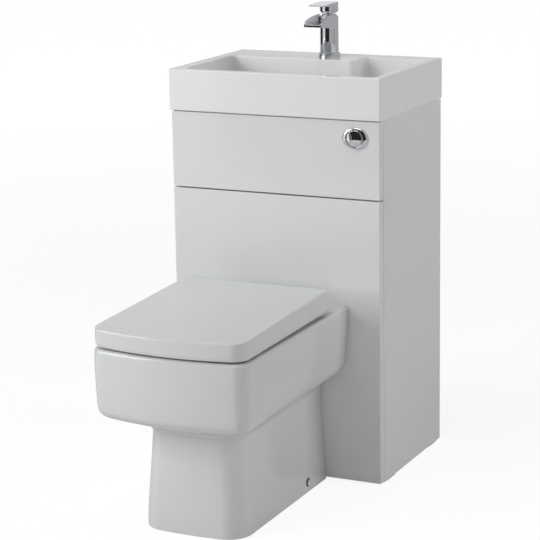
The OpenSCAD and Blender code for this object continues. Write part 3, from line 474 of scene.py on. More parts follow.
@dataclass(frozen=True)
class Palette:
    """Every finish of the unit."""

    lacquer: Finish = Finish("white_gloss_lacquer", (0.73, 0.74, 0.75), 0.16, coat=0.35,
                             marks=0.05, peel=300.0, peel_share=0.10, relief=0.00012)
    melamine: Finish = Finish("white_melamine", (0.74, 0.74, 0.73), 0.42, marks=0.12, dust=0.35,
                              peel=900.0, peel_share=0.4, relief=0.00004)
    chipboard: Finish = Chipboard("raw_board_edge", (0.55, 0.41, 0.25), 0.85, relief=0.0006)
    basin: Finish = Finish("basin_gloss_glaze", (0.80, 0.805, 0.81), 0.09, coat=0.0,
                           drift=0.02, marks=0.04, ripple=22.0, peel=160.0, relief=0.00018)
    pan: Finish = Finish("pan_gloss_glaze", (0.68, 0.69, 0.695), 0.10, coat=0.5, drift=0.03,
                         marks=0.05, ripple=14.0, peel=120.0, peel_share=0.12, relief=0.00035)
    seat: Finish = Finish("seat_gloss_white", (0.68, 0.69, 0.695), 0.13, coat=0.4, marks=0.05,
                          ripple=8.0, peel=260.0, relief=0.00015)
    chrome: Finish = Finish("polished_chrome", (0.80, 0.81, 0.83), 0.035, metallic=1.0,
                            drift=0.04, marks=0.05, marks_scale=70.0, ripple=60.0,
                            peel_share=0.02, relief=0.00004)
    satin: Finish = Finish("satin_chrome", (0.90, 0.91, 0.93), 0.42, metallic=1.0, drift=0.04,
                           marks=0.06, marks_scale=70.0, ripple=60.0, relief=0.00003)
    zinc: Finish = Galvanised("zinc_plated_steel", (0.62, 0.63, 0.65), 0.34, metallic=1.0,
                              marks=0.18, marks_scale=90.0, relief=0.00005)
    brass: Finish = Finish("plain_brass_finish", (0.78, 0.56, 0.26), 0.28, metallic=1.0,
                           drift=0.25, drift_scale=60.0, marks=0.2, marks_scale=80.0,
                           relief=0.0001)
    braid: Finish = Braided("woven_steel_wire", (0.70, 0.71, 0.73), 0.30, metallic=1.0,
                            relief=0.0008)
    white: Finish = Grained("satin_white_plastic", (0.80, 0.80, 0.78), 0.38, marks=0.1,
                            dust=0.25, relief=0.00006)
    dark: Finish = Grained("matt_dark_plastic", (0.045, 0.047, 0.05), 0.5, marks=0.15,
                           dust=0.3, relief=0.00012)
    rubber: Finish = Grained("matt_black_rubber", (0.02, 0.02, 0.022), 0.75, marks=0.1,
                             relief=0.0001)
    buffer: Finish = Grained("soft_pale_buffer", (0.60, 0.61, 0.60), 0.4, relief=0.00005)
    red: Finish = Grained("red_marked_plastic", (0.52, 0.03, 0.02), 0.35, relief=0.00005)
    blue: Finish = Grained("blue_marked_plastic", (0.03, 0.09, 0.45), 0.35, relief=0.00005)
    tube: Finish = Grained("clear_grey_tube", (0.60, 0.64, 0.66), 0.22, coat=0.3,
                           relief=0.00005)


FINISH = Palette()
SLOT_FINISH: dict[Slot, Finish] = {
    Slot.BOARD: FINISH.lacquer, Slot.CARCASS: FINISH.melamine, Slot.ZINC: FINISH.zinc,
    Slot.DARK: FINISH.dark, Slot.BASIN: FINISH.basin, Slot.PAN: FINISH.pan,
    Slot.CHROME: FINISH.chrome, Slot.RUBBER: FINISH.rubber, Slot.BUFFER: FINISH.buffer,
    Slot.WHITE: FINISH.white, Slot.BRASS: FINISH.brass, Slot.BRAID: FINISH.braid,
    Slot.RED: FINISH.red, Slot.BLUE: FINISH.blue, Slot.SEAT: FINISH.seat,
}


# ---------------------------------------------------------------- outlines


def blend(a: Vector, b: Vector, share: float) -> Vector:
    """Returns the point at a share of the way from a to b."""
    return a + (b - a) * share


def eased(rows: Sequence[Sequence[float]], at: float) -> list[float]:
    """Reads a table at a place between its rows, smoothly and without overshoot.

    Args:
        rows: rows that start with their place, in rising order.
        at: the place to read.
    Returns:
        The other columns' values there.
    """
    at = min(max(at, rows[0][0]), rows[-1][0])
    i = next(k for k in range(len(rows) - 1) if at <= rows[k + 1][0])
    width = rows[i + 1][0] - rows[i][0]
    t = (at - rows[i][0]) / width

    def slope(k: int, column: int) -> float:
        """Returns the slope at row k, zero where the values turn."""
        if k in (0, len(rows) - 1):
            return 0.0
        before = (rows[k][column] - rows[k - 1][column]) / (rows[k][0] - rows[k - 1][0])
        after = (rows[k + 1][column] - rows[k][column]) / (rows[k + 1][0] - rows[k][0])
        return 0.0 if before * after <= 0 else 2 * before * after / (before + after)

    values = []
    for column in range(1, len(rows[0])):
        start, end = rows[i][column], rows[i + 1][column]
        lead = slope(i, column) * width
        tail = slope(i + 1, column) * width
        values.append(start * (1 + 2 * t) * (1 - t) ** 2 + lead * t * (1 - t) ** 2
                      + end * t * t * (3 - 2 * t) + tail * t * t * (t - 1))
    return values


@dataclass(frozen=True)
class Outline:
    """A closed flat outline of corners, each with a radius."""

    corners: tuple[Vec2, ...]
    radii: tuple[float, ...]
    steps: int = 8
    least: float = 0.2

    @classmethod
    def rectangle(cls, x0: float, x1: float, y0: float, y1: float, radius: float,
                  steps: int = 8) -> "Outline":
        """Returns a rectangle with four equal round corners."""
        return cls(((x0, y0), (x1, y0), (x1, y1), (x0, y1)), (radius,) * 4, steps)

    def points(self, inset: float = 0.0) -> list[Vec2]:
        """Walks round the outline.

        Args:
            inset: how far the outline is drawn in, or out where negative.
        Returns:
            Its points, the same number at every inset.
        """
        found: list[Vec2] = []
        count = len(self.corners)
        for i, corner in enumerate(self.corners):
            here = Vector(corner)
            before = (here - Vector(self.corners[i - 1])).normalized()
            after = (Vector(self.corners[(i + 1) % count]) - here).normalized()
            first, last = Vector((-before.y, before.x)), Vector((-after.y, after.x))
            mitre = (first + last) / (1 + first.dot(last))
            if not self.radii[i]:
                found.append(tuple(here + mitre * inset))
                continue
            turn = math.copysign(1, before.x * after.y - before.y * after.x)
            radius = max(self.radii[i] - turn * inset, self.least)
            centre = here + mitre * (inset + turn * radius)
            sweep = turn * math.acos(max(-1.0, min(1.0, first.dot(last))))
            for k in range(self.steps + 1):
                arm = Matrix.Rotation(sweep * k / self.steps, 2) @ first
                found.append(tuple(centre - arm * turn * radius))
        return found


@dataclass(frozen=True)
class Dee:
    """A D outline in plan: flat back, straight sides, round front corners and a bowed front.

    A pinch draws the sides in toward the plane that the pan meets.
    """

    half: float
    front: float
    back: float
    corner: float
    bow: float
    rear: float = 0.0
    pinch: float = 0.0
    pinch_plane: float = 84.4

    def points(self, sides: int = 26, arc: int = 14, across: int = 12) -> list[Vec2]:
        """Walks round the outline from the back left, anticlockwise seen from above.

        Args:
            sides: steps along a side.
            arc: steps round a front corner.
            across: steps along half of the front.
        Returns:
            Its points, the left half mirrored to the right.
        """
        turn_y = self.front + self.corner
        left: list[Vec2] = [(-self.half + self.rear, self.back),
                            (-self.half + 0.29 * self.rear, self.back - 0.29 * self.rear)
                            ] if self.rear else []
        start = self.back - self.rear
        left += [(-self.half, start + (turn_y - start) * k / sides) for k in range(sides + 1)]
        for k in range(1, arc + 1):
            a = math.pi / 2 * k / arc
            left.append((self.corner - self.half - self.corner * math.cos(a),
                         turn_y - self.corner * math.sin(a)))
        flat = self.corner - self.half
        left += [(flat * (1 - k / (across + 0.5)), self.front) for k in range(1, across + 1)]
        shaped = [(x * self.narrowing(y), y - self.push(x, y)) for x, y in left]
        return shaped + [(-x, y) for x, y in reversed(shaped)]

    def narrowing(self, y: float) -> float:
        """Returns the share of the width that is left at y."""
        start = self.front + self.corner
        run = max(0.0, (y - start) / (self.pinch_plane - start))
        return 1 - self.pinch / self.half * run

    def push(self, x: float, y: float) -> float:
        """Returns how far the bow pushes a point forward."""
        if y >= self.front + self.corner:
            return 0.0
        return self.bow * (1 - (x / self.half) ** 2) * (1 - (y - self.front) / self.corner)

    def ring(self, height: Callable[[float], float]) -> Ring:
        """Returns the outline raised to a height that follows y."""
        return [Vector((x, y, height(y))) for x, y in self.points()]


def level(height: float) -> Callable[[float], float]:
    """Returns a function that gives one height everywhere."""
    return lambda _y: height


def oval(half_x: float, half_y: float, centre: float, height: float, count: int = 96) -> Ring:
    """Returns an oval in plan, ordered as a D outline is."""
    turns = [math.pi * 2 * (k + 0.5) / count for k in range(count)]
    return [Vector((-half_x * math.sin(t), centre + half_y * math.cos(t), height))
            for t in turns]


def quarter(radius: float, steps: int = 5) -> list[Vec2]:
    """Returns inset and rise along a quarter round edge, from its foot to its tangent."""
    angles = [math.pi / 2 * k / steps for k in range(steps + 1)]
    return [(radius * (1 - math.sin(a)), radius * (1 - math.cos(a))) for a in angles]


def curve_through(points: Sequence[Sequence[float]], steps: int) -> list[Vector]:
    """Returns a smooth curve through given points.

    Args:
        points: the points, three numbers each.
        steps: steps between two points.
    Returns:
        The curve's points.
    """
    given = [Vector(p) for p in points]
    curve: list[Vector] = []
    for i in range(len(given) - 1):
        a, b = given[max(i - 1, 0)], given[i]
        c, d = given[i + 1], given[min(i + 2, len(given) - 1)]
        for k in range(steps):
            t = k / steps
            curve.append(0.5 * (2 * b + (c - a) * t + (2 * a - 5 * b + 4 * c - d) * t * t
                                + (3 * b - a - 3 * c + d) * t ** 3))
    return curve + [given[-1]]


# ---------------------------------------------------------------- solids


@dataclass(frozen=True)
class Box:
    """Lowest and highest corner of a node, in millimetres."""

    low: Vector
    high: Vector

    @classmethod
    def of(cls, node: str) -> "Box":
        """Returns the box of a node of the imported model."""
        low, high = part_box(node)
        return cls(low / MM, high / MM)


class Solid:
    """A closed mesh in millimetres, which other solids can cut or join."""

    def __init__(self, mesh: bpy.types.Mesh) -> None:
        """Args: mesh: the closed mesh."""
        self.mesh = mesh

    @classmethod
    def from_shape(cls, shape: bmesh.types.BMesh) -> "Solid":
        """Returns a solid from a bmesh, with its faces turned outward."""
        bmesh.ops.recalc_face_normals(shape, faces=shape.faces)
        mesh = bpy.data.meshes.new("solid")
        shape.to_mesh(mesh)
        shape.free()
        return cls(mesh)

    @classmethod
    def loft(cls, rings: Sequence[Ring], ends: Ends = Ends.FLAT) -> "Solid":
        """Returns a solid through rings of equal length.

        Args:
            rings: the rings, in order.
            ends: how the first and last ring are closed.
        Returns:
            The solid.
        """
        shape = bmesh.new()
        rows = [[shape.verts.new(p) for p in ring] for ring in rings]
        pairs = list(zip(rows, rows[1:]))
        if ends is Ends.JOINED:
            pairs.append((rows[-1], rows[0]))
        for low, high in pairs:
            for j in range(len(low)):
                k = (j + 1) % len(low)
                shape.faces.new((low[j], low[k], high[k], high[j]))
        if ends is Ends.FLAT:
            shape.faces.new(rows[0])
            shape.faces.new(rows[-1])
        if ends is Ends.STRIPS:
            for row in (rows[0], rows[-1]):
                last = len(row) - 1
                for j in range(len(row) // 2 - 1):
                    shape.faces.new((row[j], row[j + 1], row[last - 1 - j], row[last - j]))
        return cls.from_shape(shape)

    @classmethod
    def slab(cls, outline: Outline, low: float, high: float, edge_low: float = 0.8,
             edge_high: float = 0.8) -> "Solid":
        """Returns an outline raised between two heights, with round edges.

        Args:
            outline: the outline in plan.
            low, high: the heights.
            edge_low, edge_high: radii of the lower and upper edge.
        Returns:
            The solid.
        """
        levels = [(inset, low + rise) for inset, rise in quarter(edge_low)]
        levels += [(inset, high - rise) for inset, rise in reversed(quarter(edge_high))]
        return cls.loft([[Vector((x, y, z)) for x, y in outline.points(inset)]
                         for inset, z in levels])

    @classmethod
    def block(cls, low: Sequence[float], high: Sequence[float], edge: float = 0.5) -> "Solid":
        """Returns a block between two corners, with small round edges."""
        plan = Outline.rectangle(low[0], high[0], low[1], high[1], edge, 3)
        return cls.slab(plan, low[2], high[2], edge, edge)

    @classmethod
    def turned(cls, profile: Outline, centre: Sequence[float], axis: Axis = Axis.Z,
               steps: int = 96) -> "Solid":
        """Returns a profile of radius and height turned about an axis.

        Args:
            profile: corners as (radius, height), with their rounding.
            centre: the point that heights are measured from.
            axis: the axis that is turned about.
            steps: steps round the axis.
        Returns:
            The solid.
        """
        origin = Vector(centre)
        path = profile.points()
        rings = []
        for k in range(steps):
            a = 2 * math.pi * k / steps
            ring = []
            for radius, height in path:
                u, v = radius * math.cos(a), radius * math.sin(a)
                spots = {Axis.X: (height, u, v), Axis.Y: (u, height, v), Axis.Z: (u, v, height)}
                ring.append(origin + Vector(spots[axis]))
            rings.append(ring)
        solid = cls.loft(rings, Ends.JOINED)
        return solid.welded()

    @classmethod
    def rod(cls, start: Sequence[float], radius: float, length: float, axis: Axis = Axis.Z,
            edge: float = 0.0, steps: int = 64) -> "Solid":
        """Returns a cylinder along an axis, with an optional edge radius."""
        corners = ((0, 0), (radius, 0), (radius, length), (0, length))
        return cls.turned(Outline(corners, (0, edge, edge, 0), 4), start, axis, steps)

    @classmethod
    def tube(cls, route: Sequence[Vector], radius: float, sides: int = 20) -> "Solid":
        """Returns a round rod along a route, with a UV map around and along it.

        Args:
            route: points along its middle.
            radius: its radius.
            sides: its sides.
        Returns:
            The solid.
        """
        shape = bmesh.new()
        layer = shape.loops.layers.uv.new("along")
        side = (route[1] - route[0]).orthogonal().normalized()
        rows, run, lengths = [], 0.0, []
        for i, point in enumerate(route):
            ahead = (route[min(i + 1, len(route) - 1)] - route[max(i - 1, 0)]).normalized()
            side = (side - ahead * side.dot(ahead)).normalized()
            up = ahead.cross(side)
            run += (point - route[max(i - 1, 0)]).length * MM
            lengths.append(run)
            turns = [2 * math.pi * k / sides for k in range(sides)]
            rows.append([shape.verts.new(point + radius * (side * math.cos(a) + up * math.sin(a)))
                         for a in turns])
        for i in range(len(rows) - 1):
            for j in range(sides):
                k = (j + 1) % sides
                face = shape.faces.new((rows[i][j], rows[i][k], rows[i + 1][k], rows[i + 1][j]))
                spots = ((j, i), (j + 1, i), (j + 1, i + 1), (j, i + 1))
                for loop, (around, row) in zip(face.loops, spots):
                    loop[layer].uv = (around / sides, lengths[row])
        shape.faces.new(rows[0])
        shape.faces.new(rows[-1])
        return cls.from_shape(shape)

    @classmethod
    def from_node(cls, node: str) -> "Solid":
        """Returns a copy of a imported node's mesh, welded, with its flat faces made whole."""
        shape = bmesh.new()
        shape.from_mesh(bpy.data.objects[node].data)
        bmesh.ops.transform(shape, matrix=Matrix.Scale(1 / MM, 4), verts=shape.verts)
        bmesh.ops.remove_doubles(shape, verts=shape.verts, dist=0.002)
        bmesh.ops.dissolve_limit(shape, angle_limit=math.radians(0.5), verts=shape.verts,
                                 edges=shape.edges)
        return cls.from_shape(shape)

    def welded(self) -> "Solid":
        """Returns the solid with points that coincide made one."""
        shape = bmesh.new()
        shape.from_mesh(self.mesh)
        bmesh.ops.remove_doubles(shape, verts=shape.verts, dist=0.0005)
        bmesh.ops.dissolve_degenerate(shape, edges=shape.edges, dist=0.0001)
        return Solid.from_shape(shape)

    def _with_modifier(self, kind: str, other: "Solid | None" = None,
                       **settings: object) -> "Solid":
        """Returns the solid with one modifier applied."""
        scene = bpy.context.scene.collection
        mine = bpy.data.objects.new("work", self.mesh)
        scene.objects.link(mine)
        modifier = mine.modifiers.new("work", kind)
        used = [mine]
        if other is not None:
            tool = bpy.data.objects.new("tool", other.mesh)
            scene.objects.link(tool)
            modifier.object = tool
            used.append(tool)
        for name, value in settings.items():
            setattr(modifier, name, value)
        bpy.context.view_layer.update()
        graph = bpy.context.evaluated_depsgraph_get()
        mesh = bpy.data.meshes.new_from_object(mine.evaluated_get(graph))
        for thing in used:
            bpy.data.objects.remove(thing)
        return Solid(mesh)

    def cut(self, *others: "Solid") -> "Solid":
        """Returns the solid with others taken out of it."""
        result = self
        for other in others:
            result = result._with_modifier("BOOLEAN", other, operation="DIFFERENCE",
                                           solver="MANIFOLD")
        return result

    def joined(self, *others: "Solid") -> "Solid":
        """Returns the solid with others added to it as one shell."""
        result = self
        for other in others:
            result = result._with_modifier("BOOLEAN", other, operation="UNION",
                                           solver="MANIFOLD")
        return result

    def with_loose(self, *others: "Solid") -> "Solid":
        """Returns one mesh that also holds other solids, which stay apart."""
        shape = bmesh.new()
        for part in (self, *others):
            shape.from_mesh(part.mesh)
        return Solid.from_shape(shape)

    def softened(self, width: float, angle: float = 38.0, steps: int = 3) -> "Solid":
        """Returns the solid with its sharp edges rounded.

        Args:
            width: the rounding's width.
            angle: edges turning more than this are rounded, in degrees.
            steps: segments of the rounding.
        Returns:
            The softened solid.
        """
        return self._with_modifier("BEVEL", width=width, segments=steps, limit_method="ANGLE",
                                   angle_limit=math.radians(angle), miter_outer="MITER_ARC")

    def mirrored(self) -> "Solid":
        """Returns the solid's mirror image from left to right."""
        shape = bmesh.new()
        shape.from_mesh(self.mesh)
        bmesh.ops.transform(shape, matrix=Matrix.Scale(-1, 4, (1, 0, 0)), verts=shape.verts)
        return Solid.from_shape(shape)

    def painted(self, index: int, test: Test) -> "Solid":
        """Gives faces another material.

        Args:
            index: the material's place in the list.
            test: says from a face's centre and normal whether it takes it.
        Returns:
            The same solid.
        """
        for face in self.mesh.polygons:
            if test(face.center, face.normal):
                face.material_index = index
        return self


def both_sides(make: Callable[[int], Solid]) -> list[Solid]:
    """Returns what a function makes for the left side and for the right."""
    return [make(-1), make(1)]


def place(solid: Solid, name: str, body: Body, slot: Slot, finishes: Sequence[Finish] = (),
          replaces: Iterable[str] = (), sharp: float = 32.0) -> bpy.types.Object:
    """Turns a solid into a piece of the scene.

    Args:
        solid: the solid, in millimetres.
        name: the piece's name.
        body: the body that it rides on.
        slot: the record's slot that it takes its finish from.
        finishes: its finishes, or the slot's own if none is given.
        replaces: the nodes that it stands for.
        sharp: edges turning more than this stay sharp, in degrees.
    Returns:
        The new piece.
    """
    mesh = solid.mesh
    mesh.transform(Matrix.Scale(MM, 4))
    mesh.name = name
    chosen = tuple(finishes) or (SLOT_FINISH[slot],)
    painted = [min(face.material_index, len(chosen) - 1) for face in mesh.polygons]
    mesh.materials.clear()
    for finish in chosen:
        mesh.materials.append(finish.material())
    mesh.polygons.foreach_set("material_index", painted)
    mesh.shade_smooth()
    mesh.set_sharp_from_angle(angle=math.radians(sharp))
    piece = bpy.data.objects.new(name, mesh)
    bpy.context.scene.collection.objects.link(piece)
    normals = piece.modifiers.new("even_normals", "WEIGHTED_NORMAL")
    normals.keep_sharp = True
    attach(piece, body.value)
    nodes = tuple(replaces)
    if nodes:
        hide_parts(*nodes)
    log.info("%s: %d faces on %s, for %s", name, len(mesh.polygons), body.value,
             ", ".join(nodes) or "no node")
    return piece


def soften_node(node: str, width: float, body: Body, slot: Slot, name: str = "",
                finishes: Sequence[Finish] = (), index_test: Test | None = None) -> None:
    """Stands a copy of a node with rounded edges in its place.

    Args:
        node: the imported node.
        width: how wide its edges are rounded.
        body: the body that it rides on.
        slot: the slot of its finish.
        name: the piece's name, or the node's with a suffix.
        finishes: its finishes.
        index_test: says which faces take the second finish.
    """
    solid = Solid.from_node(node).softened(width)
    if index_test:
        solid.painted(1, index_test)
    place(solid, name or f"{node}_soft", body, slot, finishes, (node,))


# ---------------------------------------------------------------- cabinet


@dataclass
class Cabinet:
    """Board cabinet: sides, posts, two front panels and the rails behind them."""

    front_corner: float = 2.5
    edge: float = 0.7
    button_hole: float = 19.5
    button_spot: Vec2 = (191.0, 764.5)
    pipe_holes: tuple[tuple[float, float], ...] = ((185.0, 62.0), (332.0, 30.0))

    def build(self) -> None:
        """Builds every piece of the cabinet."""
        self.sides()
        self.front_panels()
        self.carcass()

    def sides(self) -> None:
        """Builds the side panels, with raw board at their back edges, and the posts."""
        for node in ("side_panel_left", "side_panel_right"):
            box = Box.of(node)
            panel = Solid.block(box.low, box.high, self.edge)
            panel.painted(1, lambda _c, n: n.y > 0.9)
            place(panel, f"{node}_board", Body.BASE, Slot.BOARD,
                  (FINISH.lacquer, FINISH.chipboard), (node,))
        soften_node("front_stiles", self.edge, Body.BASE, Slot.BOARD)

    def panel(self, node: str) -> Solid:
        """Returns a front panel with round front corners."""
        box = Box.of(node)
        corners = ((box.low.x, box.low.y), (box.high.x, box.low.y),
                   (box.high.x, box.high.y), (box.low.x, box.high.y))
        radii = (self.front_corner, self.front_corner, self.edge, self.edge)
        return Solid.slab(Outline(corners, radii), box.low.z, box.high.z, self.edge, self.edge)

    def front_panels(self) -> None:
        """Builds the fascia with its button hole and the lower panel with its pipe holes."""
        front = Box.of("fascia_panel").low.y
        through = 40.0
        x, z = self.button_spot
        hole = Solid.rod((x, front - 5, z), self.button_hole, through, Axis.Y)
        place(self.panel("fascia_panel").cut(hole), "fascia_board", Body.BASE, Slot.BOARD,
              replaces=("fascia_panel",))
        holes = [Solid.rod((0, front - 5, z), radius, through, Axis.Y)
                 for z, radius in self.pipe_holes]
        place(self.panel("lower_front_panel").cut(*holes), "lower_front_board", Body.BASE,
              Slot.BOARD, replaces=("lower_front_panel",))

    def carcass(self) -> None:
        """Builds the rails, shelf, blocks and feet."""
        boards = (FINISH.melamine, FINISH.chipboard)
        for node in ("carcass_rails", "back_rail_top"):
            soften_node(node, self.edge, Body.BASE, Slot.CARCASS, "", boards,
                        lambda _c, n: abs(n.z) > 0.9)
        soften_node("cistern_shelf", self.edge, Body.BASE, Slot.CARCASS, "", boards,
                    lambda _c, n: abs(n.y) > 0.9)
        soften_node("corner_blocks", 1.5, Body.BASE, Slot.CARCASS, "", (FINISH.white,))
        # the glide feet take the matt dark finish, which also stands in for the shadow line under
        # the sides: painted shade
        soften_node("glide_feet", 0.5, Body.BASE, Slot.DARK)
        soften_node("panel_clips", 0.4, Body.BASE, Slot.DARK)


# ---------------------------------------------------------------- basin


@dataclass
class Basin:
    """Basin with a wide bowl, a recess beside the tap deck, and its waste."""

    mouth: tuple[float, float, float] = (-218.0, 229.0, 98.0)
    deck_front: float = 335.0
    recess_left: float = 82.0
    recess_back: float = 396.0
    bowl_corner: float = 14.0
    depth: float = 80.0
    deck_thickness: float = 12.0
    edge: float = 2.5
    mouth_edge: float = 3.0
    wall_draft: float = 4.0
    floor_fillet: float = 12.0
    tap_y: float = 386.0
    waste_y: float = 216.0
    tap_hole: float = 17.5
    waste_hole: float = 22.5
    box: Box = field(default_factory=lambda: Box.of("basin"))

    @property
    def top(self) -> float:
        """Height of the rim."""
        return self.box.high.z

    @property
    def floor(self) -> float:
        """Height of the bowl's floor at the waste."""
        return self.top - self.depth

    def build(self) -> None:
        """Builds the basin, the flange and the plug."""
        self.body()
        self.waste()

    def mouth_outline(self) -> Outline:
        """Returns the bowl's mouth: the wide part, stepped in beside the tap deck."""
        x0, x1, y0 = self.mouth
        corners = ((x0, y0), (x1, y0), (x1, self.recess_back),
                   (self.recess_left, self.recess_back), (self.recess_left, self.deck_front),
                   (x0, self.deck_front))
        return Outline(corners, (self.bowl_corner,) * len(corners), 10)

    def bowl(self) -> Solid:
        """Returns the space of the bowl, rounded at its mouth and its floor."""
        levels = [(-self.mouth_edge, self.top + 4)]
        levels += [(-inset, self.top - rise) for inset, rise in quarter(self.mouth_edge)]
        wall_foot = self.floor + self.floor_fillet + 2
        for k in range(1, 5):
            share = k / 4
            levels.append((self.wall_draft * share,
                           (self.top - self.mouth_edge) * (1 - share) + wall_foot * share))
        for k in range(1, 9):
            a = math.pi / 2 * k / 8
            levels.append((self.wall_draft + self.floor_fillet * (1 - math.cos(a)),
                           wall_foot - self.floor_fillet * math.sin(a)))
        drawn = levels[-1][0]
        levels += [(drawn + 12, self.floor + 1.4), (drawn + 28, self.floor + 0.5),
                   (drawn + 42, self.floor)]
        mouth = self.mouth_outline()
        return Solid.loft([[Vector((x, y, z)) for x, y in mouth.points(inset)]
                           for inset, z in levels])

    def body(self) -> None:
        """Builds the basin: a slab with its bowl, the hollow under the deck and two holes."""
        low, high = self.box.low, self.box.high
        lift = 3.0
        slab = Solid.slab(Outline.rectangle(low.x, high.x, low.y, high.y, 4.0), low.z + lift,
                          high.z, 1.2, self.edge)
        foot = Solid.slab(Outline.rectangle(low.x + 4, high.x - 4, low.y + 12, high.y - 5, 4.0),
                          low.z, low.z + lift + 4, 0.6, 0.6)
        hollow = Solid.slab(
            Outline.rectangle(self.mouth[0] + 6, self.recess_left - 14, self.deck_front + 12,
                              high.y - 12, 8.0), low.z - 5, high.z - self.deck_thickness, 1, 6)
        tap_hole = Solid.rod((0, self.tap_y, low.z), self.tap_hole, 120)
        waste_hole = Solid.rod((0, self.waste_y, low.z - 5), self.waste_hole, 60)
        shell = slab.joined(foot).cut(self.bowl(), hollow, tap_hole, waste_hole)
        place(shell, "glazed_basin", Body.BASE, Slot.BASIN, replaces=("basin",))

    def waste(self) -> None:
        """Builds the slotted waste flange and the domed plug."""
        flange, tail, z = 31.0, 22.0, self.floor
        bottom = Box.of("waste_flange").low.z - z
        profile = Outline(((19, bottom), (tail, bottom), (tail, 0), (flange, 0), (flange, 0.9),
                           (flange - 4, 1.5), (20.5, 1.5), (19, -1)),
                          (0.3, 0.3, 0, 0.3, 0.4, 0.8, 1.2, 1.5), 5)
        ring = Solid.turned(profile, (0, self.waste_y, z))
        slot = Solid.block((-30, self.waste_y - 3, z - 52), (30, self.waste_y + 3, z - 38), 1)
        guide = Solid.turned(Outline(((4.05, -30), (7, -30), (7, -18), (4.05, -18)),
                                     (0.3,) * 4, 3), (0, self.waste_y, z))
        hub, arm, half = 4.8, 21.5, 1.5
        spans = ((-arm, -hub, -half, half), (hub, arm, -half, half),
                 (-half, half, -arm, -hub), (-half, half, hub, arm))
        arms = [Solid.block((x0, self.waste_y + y0, z - 30), (x1, self.waste_y + y1, z - 24))
                for x0, x1, y0, y1 in spans]
        place(ring.cut(slot).joined(guide, *arms), "waste_flange_ring", Body.BASE, Slot.CHROME,
              replaces=("waste_flange",))
        dome = Outline(((0, -26), (4, -26), (4, 10), (27, 10), (30, 12), (28.5, 14.5),
                        (20, 16.2), (8, 17), (0, 17)),
                       (0, 0.6, 1.0, 1.2, 1.4, 4, 20, 20, 0), 8)
        place(Solid.turned(dome, (0, self.waste_y, z)), "waste_plug_dome", Body.PLUG,
              Slot.CHROME, replaces=("waste_plug",))


# ---------------------------------------------------------------- tap


